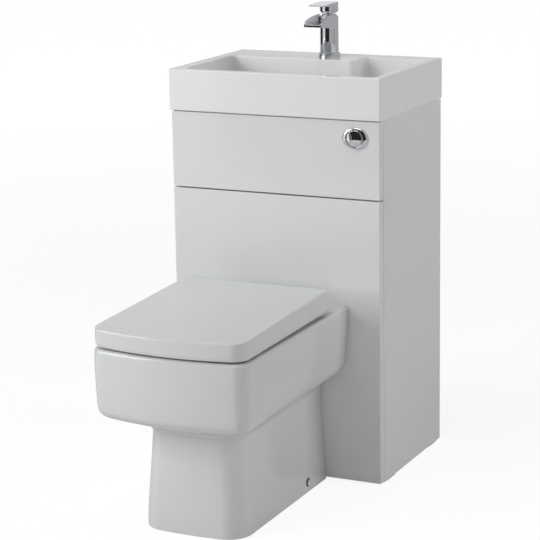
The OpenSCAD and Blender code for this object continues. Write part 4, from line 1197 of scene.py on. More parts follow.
@dataclass
class Tap:
    """Basin tap with an open waterfall spout and a flat lever on a round cap."""

    axis_y: float = 386.0
    deck: float = 894.0
    radius: float = 21.2
    wall: float = 2.6
    lip_y: float = 295.0
    lip_z: float = 969.0
    floor_thickness: float = 5.0
    spout_run: float = 74.0
    spout_rise: float = 16.5
    underside_fall: float = 10.0
    top_z: float = 989.0
    cap_low: float = 992.5
    cap_high: float = 1017.5
    lever_tip: float = 318.0
    shank: float = 15.0
    tail_bore: float = 5.0
    tail_x: float = 7.5
    well: float = 16.0

    def build(self) -> None:
        """Builds the body, the base ring, the rings under the cap and the lever."""
        self.body()
        self.base_ring()
        self.inner_rings()
        self.lever()

    def spout_section(self, y: float, inset: float) -> Ring:
        """Returns the spout's U-shaped section at a distance.

        Args:
            y: where the section stands.
            inset: how far the section is drawn in.
        Returns:
            The section's ring, in the plane across the spout.
        """
        ahead = (y - self.lip_y) / self.spout_run
        slope = min((y - self.lip_y) / (self.axis_y - self.radius + 6 - self.lip_y), 1.0)
        low = self.lip_z - self.underside_fall * slope
        floor = self.lip_z + self.floor_thickness - 11 * slope
        arch = math.sqrt(max(0.0, 1 - (1 - min(ahead, 1.0)) ** 2))
        high = max(self.lip_z + self.floor_thickness + self.spout_rise * arch, floor + 0.3)
        tip = 0.42 * min(self.wall, high - floor)
        outer, inner = self.radius, self.radius - self.wall
        corners = ((-outer, low), (outer, low), (outer, high), (inner, high), (inner, floor),
                   (-inner, floor), (-inner, high), (-outer, high))
        fillet = min(13.0, 0.8 * (high - floor - tip))
        section = Outline(corners, (1.4, 1.4, tip, tip, fillet, fillet, tip, tip), 4, 0.02)
        return [Vector((x, y, z)) for x, z in section.points(inset)]

    def spout(self) -> Solid:
        """Returns the open spout, from its lip into the column."""
        run = self.axis_y - 9 - self.lip_y
        ends = [(0.0, 0.7), (0.25, 0.3), (0.8, 0.0)]
        rings = [self.spout_section(self.lip_y + ahead, inset) for ahead, inset in ends]
        count = 44
        for k in range(1, count + 1):
            rings.append(self.spout_section(self.lip_y + 0.8 + (run - 0.8) * (k / count) ** 1.6,
                                            0.0))
        return Solid.loft(rings)

    def body(self) -> None:
        """Builds the column with its spout, cartridge well and shank."""
        r, low, high = self.radius, self.deck + 10, self.top_z
        column = Outline(((0, low), (r, low), (r, high - 4), (r - 4, high), (0, high)),
                         (0, 0.5, 2.2, 1.0, 0), 6)
        shank_low = Box.of("tap_body").low.z
        shank = Outline(((0, shank_low), (self.shank, shank_low), (self.shank, low + 2),
                         (0, low + 2)), (0, 1, 0, 0), 4)
        solid = Solid.turned(column, (0, self.axis_y, 0), steps=128)
        solid = solid.joined(self.spout(), Solid.turned(shank, (0, self.axis_y, 0)))
        slot = Solid.block((-8, self.axis_y - r - 2, self.lip_z - 3),
                           (8, self.axis_y - r + 5, self.lip_z + 1), 1.2)
        well = Solid.rod((0, self.axis_y, self.lip_z - 12), self.well, 60)
        tails = [Solid.rod((x, self.axis_y, shank_low - 1), self.tail_bore, 40)
                 for x in (-self.tail_x, self.tail_x)]
        inner = r - self.wall + 0.3

        def in_channel(c: Vector, n: Vector) -> bool:
            """Says whether a face lines the spout's open channel."""
            ahead = c.y < self.axis_y - 8 and c.z > self.lip_z - 7 and abs(c.x) < inner
            return ahead and (n.z > 0.03 or abs(n.x) > 0.97)

        place(solid.cut(slot, well, *tails).painted(1, in_channel), "tap_column", Body.BASE,
              Slot.CHROME, (FINISH.chrome, FINISH.satin), replaces=("tap_body",), sharp=28)

    def base_ring(self) -> None:
        """Builds the stepped ring under the column."""
        profile = Outline(((15, 0), (25.4, 0), (25.4, 3.8), (23.6, 4.4), (23.6, 5.8), (24.7, 6.4),
                           (24.7, 9.0), (23.6, 10), (15, 10)),
                          (0.2, 0.5, 0.6, 0.15, 0.15, 0.3, 0.6, 0.5, 0.2), 5)
        place(Solid.turned(profile, (0, self.axis_y, self.deck)), "tap_base_collar", Body.BASE,
              Slot.CHROME, replaces=("tap_base_ring",))

    def inner_rings(self) -> None:
        """Builds the nut and the collar, which show in the notch under the cap."""
        soften_node("tap_cartridge_nut", 0.3, Body.BASE, Slot.BRASS, "cartridge_nut_ring",
                    (FINISH.chrome,))
        soften_node("tap_swivel_collar", 0.2, Body.SWIVEL, Slot.BRASS, "swivel_collar_ring",
                    (FINISH.satin,))

    def blade_section(self, y: float, inset: float) -> Ring:
        """Returns the blade's section at a distance, narrower round its tip corners."""
        share = (y - self.lever_tip) / (self.axis_y - self.lever_tip)
        top = self.cap_high - 0.02 - 3 * max(0.0, 1 - share) ** 3
        low = self.cap_high - 5 - 4 * min(1.0, share / 0.69)
        corner = 5.0
        near = max(0.0, corner - (y - self.lever_tip))
        half = self.radius - (corner - math.sqrt(max(0.0, corner ** 2 - near ** 2)))
        edge = min(1.3, 0.42 * (top - low))
        section = Outline(((-half, low), (half, low), (half, top), (-half, top)), (edge,) * 4, 5)
        return [Vector((x, y, z)) for x, z in section.points(inset)]

    def lever(self) -> None:
        """Builds the cap with its arched blade, its socket and its stem."""
        r, low, high = self.radius, self.cap_low, self.cap_high
        cap = Outline(((0, low), (r - 4, low), (r, low + 4), (r, high), (0, high)),
                      (0, 0.6, 1.6, 1.3, 0), 6)
        rings = [self.blade_section(self.lever_tip + ahead, inset)
                 for ahead, inset in ((0.0, 0.9), (0.3, 0.35), (0.9, 0.0))]
        count = 36
        run = self.axis_y - self.lever_tip - 0.9
        rings += [self.blade_section(self.lever_tip + 0.9 + run * (k / count) ** 1.5, 0.0)
                  for k in range(1, count + 1)]
        solid = Solid.turned(cap, (0, self.axis_y, 0), steps=128).joined(Solid.loft(rings))
        well = Solid.rod((0, self.axis_y, low - 1), r - 5, 15.5)
        screw_hole = Solid.rod((0, self.axis_y + 5, low + 9), 2, r, Axis.Y)
        bottom = Box.of("tap_lever").low.z
        stem = Solid.rod((0, self.axis_y, bottom), 3.5, low + 10 - bottom, Axis.Z, 0.5)
        socket = Solid.rod((0, self.axis_y, low + 4), 6.5, 10.8, Axis.Z, 0.2)
        pin = Solid.rod((-9.4, self.axis_y, bottom + 3.5), 1.5, 18.8, Axis.X, 0.3)
        solid = solid.cut(well).joined(socket, stem, pin).cut(screw_hole)
        place(solid, "tap_lever_cap", Body.LEVER, Slot.CHROME, replaces=("tap_lever",), sharp=28)


# ---------------------------------------------------------------- flush button


@dataclass
class FlushButton:
    """Dual button: an oval domed bezel with a large and a small segment."""

    centre: tuple[float, float] = (191.0, 764.5)
    half_width: float = 30.0
    half_height: float = 24.0
    dome: float = 5.2
    bore: float = 17.8
    barrel: float = 19.5
    barrel_length: float = 31.1
    segment: float = 17.4
    face_ahead: float = 7.0
    seam: float = 13.0
    seam_offset: float = -19.4
    gap: float = 0.5
    crown: float = 1.3
    stem_length: float = 50.0
    steps: int = 96

    @property
    def plane(self) -> float:
        """The y of the fascia's front."""
        return Box.of("fascia_panel").low.y

    def build(self) -> None:
        """Builds the bezel and both segments."""
        self.bezel()
        self.segments()

    def at(self, x: float, y: float, z: float) -> Vector:
        """Returns a point given from the button's centre on the fascia's plane."""
        return Vector((self.centre[0] + x, self.plane + y, self.centre[1] + z))

    def bezel(self) -> None:
        """Builds the bezel: a quarter-oval dome that rolls into a straight bore."""
        crest = self.bore + 1.5
        path: list[tuple[float, float]] = []
        rings: list[Ring] = []
        count = 14
        for k in range(count + 1):
            a = math.pi / 2 * k / count
            path.append((1 - math.cos(a), -self.dome * math.sin(a)))
        for share, y in path:
            ring = []
            for j in range(self.steps):
                t = 2 * math.pi * j / self.steps
                edge = Vector((self.half_width * math.cos(t), self.half_height * math.sin(t)))
                inner = Vector((crest * math.cos(t), crest * math.sin(t)))
                spot = edge + (inner - edge) * share
                ring.append(self.at(spot.x, y, spot.y))
            rings.append(ring)
        rolled = [(crest - 1.5 * math.sin(math.pi / 2 * k / 5),
                   -self.dome + 1.5 * (1 - math.cos(math.pi / 2 * k / 5))) for k in range(1, 6)]
        tail = [(self.bore, self.barrel_length), (self.barrel, self.barrel_length),
                (self.barrel, 0.0)]
        for radius, y in rolled + tail:
            rings.append([self.at(radius * math.cos(2 * math.pi * j / self.steps), y,
                                  radius * math.sin(2 * math.pi * j / self.steps))
                          for j in range(self.steps)])
        place(Solid.loft(rings, Ends.JOINED), "button_bezel_dome", Body.BASE, Slot.CHROME,
              replaces=("button_bezel",))

    def outline(self, small: bool, inset: float) -> list[Vec2]:
        """Walks round a segment seen from the front.

        Args:
            small: True for the half flush segment, inside the seam.
            inset: how far it is drawn in.
        Returns:
            Its points: the outer arc, then the seam's arc.
        """
        outer = self.segment - inset
        seam = self.seam + (-1 if small else 1) * (self.gap / 2 + inset)
        c = self.seam_offset
        x = (outer ** 2 - seam ** 2 + c * c) / (2 * c)
        turn = math.atan2(math.sqrt(outer ** 2 - x * x), x)
        seam_turn = math.atan2(math.sqrt(outer ** 2 - x * x), x - c)
        count = self.steps // 2
        if small:
            first = [turn + (2 * math.pi - 2 * turn) * k / count for k in range(count)]
            last = [-seam_turn + 2 * seam_turn * k / count for k in range(count)]
        else:
            first = [-turn + 2 * turn * k / count for k in range(count)]
            last = [seam_turn - 2 * seam_turn * k / count for k in range(count)]
        return ([(outer * math.cos(a), outer * math.sin(a)) for a in first]
                + [(c + seam * math.cos(a), seam * math.sin(a)) for a in last])

    def face(self, spot: Vec2, ahead: float) -> Vector:
        """Returns a point on a segment's face, with the shared crown."""
        fall = self.crown * (spot[0] ** 2 + spot[1] ** 2) / self.segment ** 2
        return self.at(spot[0], -ahead + fall, spot[1])

    def segments(self) -> None:
        """Builds the two segments with their crowned faces and stems."""
        edge = 0.9
        for small, node, body, stem_x in ((False, "full_flush_button", Body.FULL_BUTTON, 6.0),
                                          (True, "half_flush_button", Body.HALF_BUTTON, -11.0)):
            back = [self.at(x, self.face_ahead, z) for x, z in self.outline(small, 0.0)]
            rings = [back]
            for inset, rise in reversed(quarter(edge)):
                rings.append([self.face(spot, self.face_ahead + 0.6 - rise)
                              for spot in self.outline(small, inset)])
            rim = self.outline(small, edge)
            middle = (stem_x, 0.0)
            for share in (0.25, 0.5, 0.75, 0.92):
                spots = [(x + (middle[0] - x) * share, z + (middle[1] - z) * share)
                         for x, z in rim]
                rings.append([self.face(spot, self.face_ahead + 0.6) for spot in spots])
            stem = Solid.rod(self.at(stem_x, self.face_ahead - 1, 0), 3.0, self.stem_length + 1,
                             Axis.Y, 0.5)
            place(Solid.loft(rings).joined(stem), f"{node}_face", body, Slot.CHROME,
                  replaces=(node,))


# ---------------------------------------------------------------- pan


@dataclass
class Pan:
    """Glazed back-to-wall pan: a deep upper body on a narrow pedestal, hollow inside."""

    top: float = 400.0
    back: float = 84.4
    wall: float = 13.0
    rim_edge: float = 9.0
    inner_corner: float = 9.0
    mouth_edge: float = 7.0
    hinge_x: float = 77.5
    hinge_y: float = -1.0
    inlet: float = 332.0
    outlet: float = 185.0
    screw: tuple[float, float, float] = (115.4, -12.0, 22.0)
    screw_bore: float = 4.0
    cap_seat: float = 10.6
    bolt_bore: float = 7.0
    trap_bore: float = 38.0
    trap_skin: float = 48.0
    inlet_bore: float = 18.0
    inlet_socket: float = 28.0
    inlet_skin: float = 38.0
    outside: tuple[tuple[float, ...], ...] = (
        (0, 117, -347, 44, 9, 0), (20, 116.5, -347, 44, 9, 0), (88, 111.5, -343, 40, 9, 0),
        (140, 108.5, -340, 42, 9, 0), (180, 107.2, -337, 44, 9, 0), (206, 106.8, -336, 46, 10, 0),
        (213, 108, -344, 46, 11, 0), (223, 111.5, -351, 45, 13, 0),
        (231, 119.5, -374, 38, 16, 1.5), (237.5, 130, -389, 35, 18, 3),
        (243.5, 141.5, -403, 31, 20, 5), (248.5, 153.5, -417, 28, 21, 7.5),
        (253.5, 163.5, -427.5, 26, 22, 9.5), (260, 169.5, -434.5, 25, 22, 10),
        (268, 172, -439, 25, 22, 9), (280, 173, -441, 25, 22, 7.5),
        (298, 173.6, -442.5, 26, 22, 6), (330, 174.3, -444, 27, 22, 4),
        (367, 175, -444.3, 27, 22, 2.5), (400, 174.5, -444, 27, 22, 2))
    bowl_steps: tuple[tuple[float, ...], ...] = (
        (76, 34, 34, -192), (96, 42, 44, -192), (150, 50, 58, -198), (200, 66, 88, -212),
        (250, 92, 118, -226), (300, 110, 138, -236), (350, 118, 148, -240),
        (385, 118, 150, -242), (410, 120, 152, -242))
    trap: tuple[tuple[float, float, float], ...] = (
        (0, -196, 112), (0, -165, 106), (0, -132, 124), (0, -104, 175), (0, -72, 226),
        (0, -38, 226), (0, -6, 196), (0, 18, 185), (0, 64, 185), (0, 96, 185))

    def build(self) -> None:
        """Builds the pan, its screw caps and the soil connector."""
        self.body()
        self.caps()
        self.connector()

    def section(self, z: float, inset: float, height: float | None = None,
                back: float | None = None, rear: float = 3.0) -> Ring:
        """Returns the outside's ring at a height.

        Args:
            z: the height that the shape is read at.
            inset: how far it is drawn in.
            height: where the ring stands, if not at z.
            back: the y of its back, if not the pan's own.
            rear: radius of its back corners.
        Returns:
            The ring.
        """
        half, front, corner, bow, pinch = eased(self.outside, z)
        plan = Dee(half - inset, front + bow + inset, self.back if back is None else back,
                   max(corner - inset, self.inner_corner), bow, rear, pinch)
        return plan.ring(level(z if height is None else height))

    def outer(self) -> Solid:
        """Returns the solid outside, with a round rim edge."""
        heights = [1.5]
        for low, high in zip(self.outside, self.outside[1:]):
            rise = high[0] - low[0]
            steps = 3 if rise < 12 else 5 if rise < 30 else 8
            heights += [low[0] + (high[0] - low[0]) * k / steps for k in range(1, steps + 1)]
        last = self.top - self.rim_edge
        heights = [z for z in heights if z < last]
        rings = [self.section(0, 1.5, 0.0), self.section(0, 0.4, 0.5)]
        rings += [self.section(z, 0) for z in heights]
        rings += [self.section(self.top - rise, inset)
                  for inset, rise in reversed(quarter(self.rim_edge, 7))]
        return Solid.loft(rings, Ends.STRIPS)

    def bowl(self, out: float) -> Solid:
        """Returns the bowl's space, grown by a distance, with a flared mouth."""
        count = 40
        low = self.bowl_steps[0][0]
        start = self.top - self.mouth_edge
        rings = []
        for k in range(count + 1):
            z = low + (start - low) * k / count
            half_x, half_y, middle = eased(self.bowl_steps, z)
            rings.append(oval(half_x + out, half_y + out, middle, z))
        for k in range(1, 7):
            a = math.pi / 2 * k / 6
            z = start + self.mouth_edge * math.sin(a)
            grown = out + self.mouth_edge * (1 - math.cos(a))
            rings.append(oval(half_x + grown, half_y + grown, middle, z))
        rings.append(oval(half_x + grown, half_y + grown, middle, self.top + 8))
        return Solid.loft(rings)

    def trap_tube(self, radius: float) -> Solid:
        """Returns the trap's way as a round rod."""
        return Solid.tube(curve_through(self.trap, 6), radius, 40)

    def hollow(self) -> Solid:
        """Returns the space between the bowl and the skirt, open at the back and the floor."""
        beyond = self.back + 20
        rings = [self.section(0, self.wall, -1, beyond, 0)]
        rings += [self.section(z, self.wall, z, beyond, 0) for z in (20, 60, 120, 170, 205)]
        lift = 0.7 * self.wall
        rings += [self.section(z, self.wall, z + lift, beyond, 0)
                  for z in (214, 222, 229, 236, 242, 249, 255, 262, 268, 276, 284, 305, 330, 353)]
        return Solid.loft(rings, Ends.STRIPS).cut(
            self.bowl(self.wall), self.trap_tube(self.trap_skin),
            Solid.rod((0, -70, self.inlet), self.inlet_skin, self.back + 40, Axis.Y),
            Solid.block((-200, -60, self.top - 24), (200, self.back + 40, self.top)))

    def body(self) -> None:
        """Builds the pan."""
        x, y, z = self.screw
        tools = [self.hollow(), self.bowl(0), self.trap_tube(self.trap_bore),
                 Solid.rod((0, -130, self.inlet), self.inlet_bore, 300, Axis.Y),
                 Solid.rod((0, self.back - 32, self.inlet), self.inlet_socket, 60, Axis.Y)]
        for side in (-1, 1):
            tools.append(Solid.rod((side * self.hinge_x, self.hinge_y, self.top - 40),
                                   self.bolt_bore, 60))
            start = 90 if side > 0 else -150
            tools.append(Solid.rod((start, y, z), self.screw_bore, 60, Axis.X))
            seat = x if side > 0 else -x - 20
            tools.append(Solid.rod((seat, y, z), self.cap_seat, 20, Axis.X))
        place(self.outer().cut(*tools), "glazed_pan", Body.BASE, Slot.PAN, replaces=("pan",))

    def caps(self) -> None:
        """Builds the domed caps over the side screws, with painted shade on the flange round each
        dome.
        """
        x, y, z = self.screw
        profile = Outline(((6.2, 0), (10, 0), (10, 1.6), (8, 1.6), (8, 3.4), (6, 5.6), (0, 6),
                           (0, 3.5), (6.2, 3.5)), (0.2, 0.3, 0.4, 0.1, 1.6, 2.4, 0, 0, 0.4), 6)
        right = Solid.turned(profile, (x, y, z), Axis.X, 64)
        # the flange round each dome takes the dark finish, painted shade round the cap
        pair = right.with_loose(right.mirrored()).painted(
            1, lambda c, _n: math.hypot(c.y - y, c.z - z) > 7.9)
        place(pair, "screw_cap_domes", Body.BASE, Slot.CHROME, (FINISH.chrome, FINISH.dark),
              replaces=("screw_caps",))

    def connector(self) -> None:
        """Builds the soil connector with its socket, fins and plain end."""
        box = Box.of("pan_connector")
        start, end = box.low.y, box.high.y
        outer = [(57, start), (57, start + 62), (54, start + 66)]
        radii = [1.2, 2.5, 2.0]
        for k in range(4):
            y = end - 56 + 14 * k
            outer += [(54, y), (55, y + 1.5), (55, y + 5.5), (54, y + 7)]
            radii += [0.5] * 4
        outer += [(54, end), (47, end), (47, start + 59), (49.5, start + 59), (49.5, start)]
        radii += [1.0, 1.0, 0.5, 0.5, 1.0]
        profile = Outline(tuple(outer), tuple(radii), 3)
        place(Solid.turned(profile, (0, 0, self.outlet), Axis.Y), "soil_connector", Body.BASE,
              Slot.DARK, replaces=("pan_connector",))


# ---------------------------------------------------------------- seat


@dataclass
class Seat:
    """Wrap-over lid and seat ring on two hinge posts."""

    half: float = 171.5
    front: float = -444.8
    front_top: float = 441.0
    rear_top: float = 457.0
    bow: float = 22.0
    corner: float = 28.0
    pinch: float = 2.0
    run: float = 430.0
    low_front: float = 404.0
    low_rise: float = 6.0
    shell: float = 3.5
    hinge_x: float = 77.5
    hinge_y: float = -1.0
    hinge_z: float = 419.0
    eye: float = 7.0
    eye_bore: float = 3.55
    lug_width: float = 8.0
    ring_low: float = 405.0
    ring_thickness: float = 18.0
    ring_inset: float = 15.0
    opening: tuple[float, float, float] = (104.0, 134.0, -246.0)

    def build(self) -> None:
        """Builds the lid, the ring and the hinge posts."""
        self.lid()
        self.ring()
        soften_node("seat_hardware", 0.5, Body.BASE, Slot.CHROME, "hinge_posts",
                    (FINISH.chrome, FINISH.white), lambda c, _n: c.z < 398.5)

    def along(self, y: float) -> float:
        """Returns the share of the lid's length at y."""
        return min(max((y - self.front) / self.run, 0), 1)

    def top(self, y: float) -> float:
        """Returns the height of the lid's top, which rises from the front."""
        return self.front_top + (self.rear_top - self.front_top) * self.along(y)

    def low(self, y: float) -> float:
        """Returns the height of the lid's lower edge."""
        return self.low_front + self.low_rise * self.along(y)

    def dee(self, inset: float, back: float) -> Dee:
        """Returns the lid's outline drawn in."""
        return Dee(self.half - inset, self.front + self.bow + inset, back,
                   max(self.corner - inset, 3), self.bow, 2.0, self.pinch)

    def lid_outside(self) -> Solid:
        """Returns the lid's outside: a lip drawn in below, straight sides, a soft top edge."""
        rings = []
        for inset, rise in ((3.0, 0.0), (2.4, 0.15), (2.0, 0.7), (1.4, 2.2), (0.8, 4.0),
                            (0.3, 6.0), (0.0, 8.5)):
            rings.append(self.dee(inset, 15.2 - 0.7 * inset - 0.1 * rise).ring(
                lambda y, rise=rise: self.low(y) + rise))
        sides = ((0.0, -1, 17), (0.0, -7, 10), (0.0, -10.4, 6), (0.05, -12.2, 3.8))
        edge = ((0.25, -13.0, 2.6), (0.75, -13.9, 1.5), (1.5, -14.8, 0.72), (2.5, -15.9, 0.2),
                (4.2, -17.5, 0.0))
        crown = ((10, -21, 0.0), (24, -33, -0.08), (45, -54, -0.2), (80, -89, -0.3),
                 (120, -129, -0.35), (160, -169, -0.38))
        for inset, back, drop in sides + edge + crown:
            rings.append(self.dee(inset, back).ring(lambda y, drop=drop: self.top(y) - drop))
        return Solid.loft(rings, Ends.STRIPS)

    def lid_inside(self) -> Solid:
        """Returns the hollow under the lid."""
        t = self.shell
        rings = [self.dee(t + 2.4, 10.5).ring(lambda y: self.low(y) - 8),
                 self.dee(t, 10).ring(lambda y: self.low(y) + 6),
                 self.dee(t, -7).ring(lambda y: self.top(y) - 16),
                 self.dee(t + 0.6, -13).ring(lambda y: self.top(y) - 8.5),
                 self.dee(t + 2.5, -17).ring(lambda y: self.top(y) - 6)]
        return Solid.loft(rings, Ends.STRIPS)

    def lug(self, side: int, x0: float, *arms: Solid) -> Solid:
        """Returns an eye round the hinge pin with the arms that hold it.

        Args:
            side: -1 for the left hinge, 1 for the right.
            x0: where the eye starts, on the right side.
            arms: the solids that join the eye, on the right side.
        Returns:
            The lug, with the pin's bore cut through it.
        """
        part = Solid.rod((x0, self.hinge_y, self.hinge_z), self.eye, self.lug_width, Axis.X, 0.6)
        bore = Solid.rod((x0 - 3, self.hinge_y, self.hinge_z), self.eye_bore,
                         self.lug_width + 6, Axis.X)
        part = part.joined(*arms).cut(bore)
        return part if side > 0 else part.mirrored()

    def lid_lug(self, side: int) -> Solid:
        """Returns a lug that hangs from the lid onto its hinge pin."""
        x0, y = self.hinge_x - 17.5, self.hinge_y
        x1 = x0 + self.lug_width
        return self.lug(side, x0, Solid.block((x0, y - 6, self.hinge_z), (x1, y + 6, 431)),
                        Solid.block((x0, y - 34, 430), (x1, y, 438)),
                        Solid.block((x0, y - 34, 436), (x1, y - 18, 452)))

    def lid(self) -> None:
        """Builds the lid."""
        notches = both_sides(lambda side: Solid.block(
            (min(side * (self.hinge_x - 9.5), side * (self.hinge_x + 19.5)), -24, 390),
            (max(side * (self.hinge_x - 9.5), side * (self.hinge_x + 19.5)), 30, 430), 1.5))
        shell = self.lid_outside().cut(self.lid_inside(), *notches)
        place(shell.joined(*both_sides(self.lid_lug)), "seat_lid_shell", Body.LID, Slot.SEAT,
              replaces=("seat_lid",))

    def ring(self) -> None:
        """Builds the seat ring: a rounded section from a D outline to an oval opening."""
        low, high = self.ring_low, self.ring_low + self.ring_thickness
        half_x, half_y, middle = self.opening

        def outer(inset: float, z: float) -> Ring:
            """Returns the outside drawn in, at a height."""
            drawn = self.ring_inset + inset
            plan = Dee(self.half - drawn, self.front + self.bow + drawn,
                       -30 - inset, max(16 - inset, 8), self.bow, 6.0, self.pinch)
            return plan.ring(level(z))

        def inner(grown: float, z: float) -> Ring:
            """Returns the opening grown, at a height, each point facing its outer one."""
            found = []
            for point in outer(0, z):
                a = math.atan2(point.y - middle, point.x)
                p, q = half_x + grown, half_y + grown
                reach = p * q / math.hypot(q * math.cos(a), p * math.sin(a))
                found.append(Vector((reach * math.cos(a), middle + reach * math.sin(a), z)))
            return found

        def between(share: float, z: float) -> Ring:
            """Returns a ring between the two edges."""
            return [blend(a, b, share) for a, b in zip(outer(7, z), inner(12, z))]

        rings = [outer(3, low), outer(0.9, low + 0.9), outer(0, low + 3), outer(0, high - 6),
                 outer(0.8, high - 3.2), outer(2.6, high - 1.2), outer(5, high - 0.25),
                 outer(8, high), between(0.3, high), between(0.7, high - 0.3),
                 inner(12, high - 0.9), inner(7, high - 2.2), inner(3, high - 4.4),
                 inner(0.8, high - 7), inner(0, high - 9.5), inner(1.5, high - 13),
                 inner(5, low + 1.6), inner(9, low + 0.3), inner(12, low), between(0.5, low)]
        solid = Solid.loft(rings, Ends.JOINED)

        def ring_lug(side: int) -> Solid:
            """Returns a lug that joins the ring to its hinge pin."""
            x0 = self.hinge_x + 9
            return self.lug(side, x0, Solid.block(
                (x0, -40, low + 6), (x0 + self.lug_width, self.hinge_y - 4, self.hinge_z + 2), 1))

        place(solid.joined(*both_sides(ring_lug)), "seat_ring_shell", Body.RING, Slot.SEAT,
              replaces=("seat_ring",))


# ---------------------------------------------------------------- cistern and pipes


@dataclass
class Cistern:
    """Hidden cistern: a moulded tank with its lid, valves and flush pipe."""

    corner: float = 14.0
    wall: float = 4.0
    flush_y: float = 368.0
    fill_x: float = 140.0
    button_tubes: tuple[tuple[tuple[float, float, float], ...], ...] = (
        ((184, 157.5, 764.5), (184, 168, 764), (178, 184, 762), (160, 212, 756),
         (104, 258, 744), (34, 312, 734), (-8, 348, 726), (-16, 363, 712), (-16, 363, 700),
         (-16, 363, 604)),
        ((198, 157.5, 764.5), (198, 168, 765), (196, 186, 766), (178, 214, 764),
         (120, 262, 756), (46, 326, 746), (-4, 362, 738), (-16, 373, 724), (-16, 373, 700),
         (-16, 373, 604)))

    def build(self) -> None:
        """Builds the tank and softens what stands in it."""
        self.tank()
        for node, width in (("cistern_lid", 1.5), ("fill_valve", 0.8), ("flush_valve_body", 0.6),
                            ("cistern_nuts", 0.8), ("flush_pipe", 0.5), ("button_nut", 0.8)):
            soften_node(node, width, Body.BASE, Slot.WHITE)
        soften_node("button_housing", 0.8, Body.BASE, Slot.DARK)
        self.air_tubes()

    def tank(self) -> None:
        """Builds the open tank with pressed ribs on its front and back."""
        box = Box.of("cistern_tank")
        low, high = box.low, box.high
        plan = Outline.rectangle(low.x, high.x, low.y, high.y, self.corner, 10)
        solid = Solid.slab(plan, low.z, high.z, 6.0, 0.8)
        inner = Outline.rectangle(low.x + self.wall, high.x - self.wall, low.y + self.wall,
                                  high.y - self.wall, self.corner - self.wall, 10)
        cutters = [Solid.slab(inner, low.z + self.wall, high.z + 10, 5.0, 1.0),
                   Solid.rod((0, self.flush_y, low.z - 1), 25, 8),
                   Solid.rod((self.fill_x, self.flush_y, low.z - 1), 10, 8)]
        groove = 1.2
        for k in range(3):
            z = low.z + 70 + 75 * k
            for y in (low.y - 10 + groove, high.y - groove):
                cutters.append(Solid.block((low.x + 40, y, z), (high.x - 40, y + 10, z + 10), 3))
        place(solid.cut(*cutters), "cistern_tank_shell", Body.BASE, Slot.WHITE,
              replaces=("cistern_tank",))

    def air_tubes(self) -> None:
        """Builds the two air tubes from the button to the flush valve."""
        nipple, radius = 4.0, 3.0
        tubes = []
        for route in self.button_tubes:
            curve = curve_through(route, 8)
            curve[0].y += nipple
            tubes.append(Solid.tube(curve, radius, 16))
        place(tubes[0].with_loose(*tubes[1:]), "button_air_tubes", Body.BASE, Slot.WHITE,
              (FINISH.tube,), ("air_tubes",), 60)


@dataclass
class Supply:
    """Waste trap, hoses and valves."""

    radius: float = 5.0
    wire_depth: float = 0.25
    sleeve_length: float = 15.0
    sleeve_grow: float = 0.38
    shank_end: float = 879.0
    shank_depth: float = 30.0
    hot: tuple[tuple[float, float, float], ...] = (
        (7.5, 386, 879), (7.5, 386, 855), (7.5, 386, 834), (8, 385, 826), (16, 372, 790),
        (40, 342, 755), (95, 310, 732), (150, 262, 716), (190, 208, 680), (200, 183, 620),
        (200, 180, 570), (200, 180, 522))
    cold: tuple[tuple[float, float, float], ...] = (
        (-7.5, 386, 879), (-7.5, 386, 855), (-7.5, 386, 834), (-7, 384, 826), (0, 376, 790),
        (34, 362, 748), (88, 332, 720), (148, 286, 706), (188, 246, 662), (200, 228, 606),
        (200, 225, 562), (200, 225, 522))
    fill: tuple[tuple[float, float, float], ...] = (
        (200, 262, 297), (200, 262, 318), (196, 270, 334), (180, 296, 346), (158, 330, 348),
        (143, 355, 346), (140, 367, 352), (140, 368, 360), (140, 368, 368))

    def build(self) -> None:
        """Builds the hoses, valves and waste pieces."""
        self.hose((self.hot, self.cold), "tap_tail_hoses", "tap_tails")
        self.hose((self.fill,), "cistern_supply_hose", "cistern_hose")
        for node, width, slot in (("isolating_valves", 0.6, Slot.BRASS),
                                  ("pipe_clips", 0.8, Slot.WHITE),
                                  ("trap_body", 1.2, Slot.WHITE), ("trap_cup", 1.4, Slot.WHITE),
                                  ("waste_nuts", 0.8, Slot.WHITE), ("waste_pipe", 0.5, Slot.WHITE),
                                  ("tap_shank_nut", 0.6, Slot.BRASS),
                                  ("pan_brackets", 0.6, Slot.ZINC)):
            soften_node(node, width, Body.BASE, slot)

    def hose(self, routes: Sequence[Sequence[Sequence[float]]], name: str, node: str) -> None:
        """Builds braided hoses with a crimped sleeve at each end.

        The upper ends of the tap's tails stand in its shank, so their sleeves sit below it.

        Args:
            routes: a route for each hose.
            name: the piece's name.
            node: the node that it stands for.
        """
        tube, length = self.radius - self.wire_depth, self.sleeve_length
        grown = tube + self.sleeve_grow
        profile = Outline(((0, 0), (grown, 0), (grown, length), (0, length)), (0, 0.3, 0.3, 0), 3)
        parts, sleeves = [], []
        for route in routes:
            parts.append(Solid.tube(curve_through(route, 12), tube, 24))
            for end, near in ((route[0], route[1]), (route[-1], route[-2])):
                low = min(end[2], end[2] + math.copysign(length, near[2] - end[2]))
                if end[2] == self.shank_end:
                    low -= self.shank_depth
                sleeve = Solid.turned(profile, (end[0], end[1], low), steps=32)
                sleeves.append(sleeve.painted(1, lambda _c, _n: True))
        place(parts[0].with_loose(*parts[1:], *sleeves), name, Body.BASE, Slot.BRAID,
              (FINISH.braid, FINISH.chrome), (node,), 60)


def dress_rest(frame: dict) -> None:
    """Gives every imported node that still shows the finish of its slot.

    Args:
        frame: what the frame's load returned.
    """
    slots = {part["node"]: Slot(part["material_slot"]) for part in frame["record"]["subparts"]}
    for node, thing in frame["nodes"].items():
        material = SLOT_FINISH[slots[node]].material()
        if not thing.material_slots:
            thing.data.materials.append(material)
        for index in range(len(thing.material_slots)):
            thing.material_slots[index].material = material
        if not thing.hide_render:
            log.info("%s keeps its packed shape, in %s", node, material.name)


# ---------------------------------------------------------------- studio


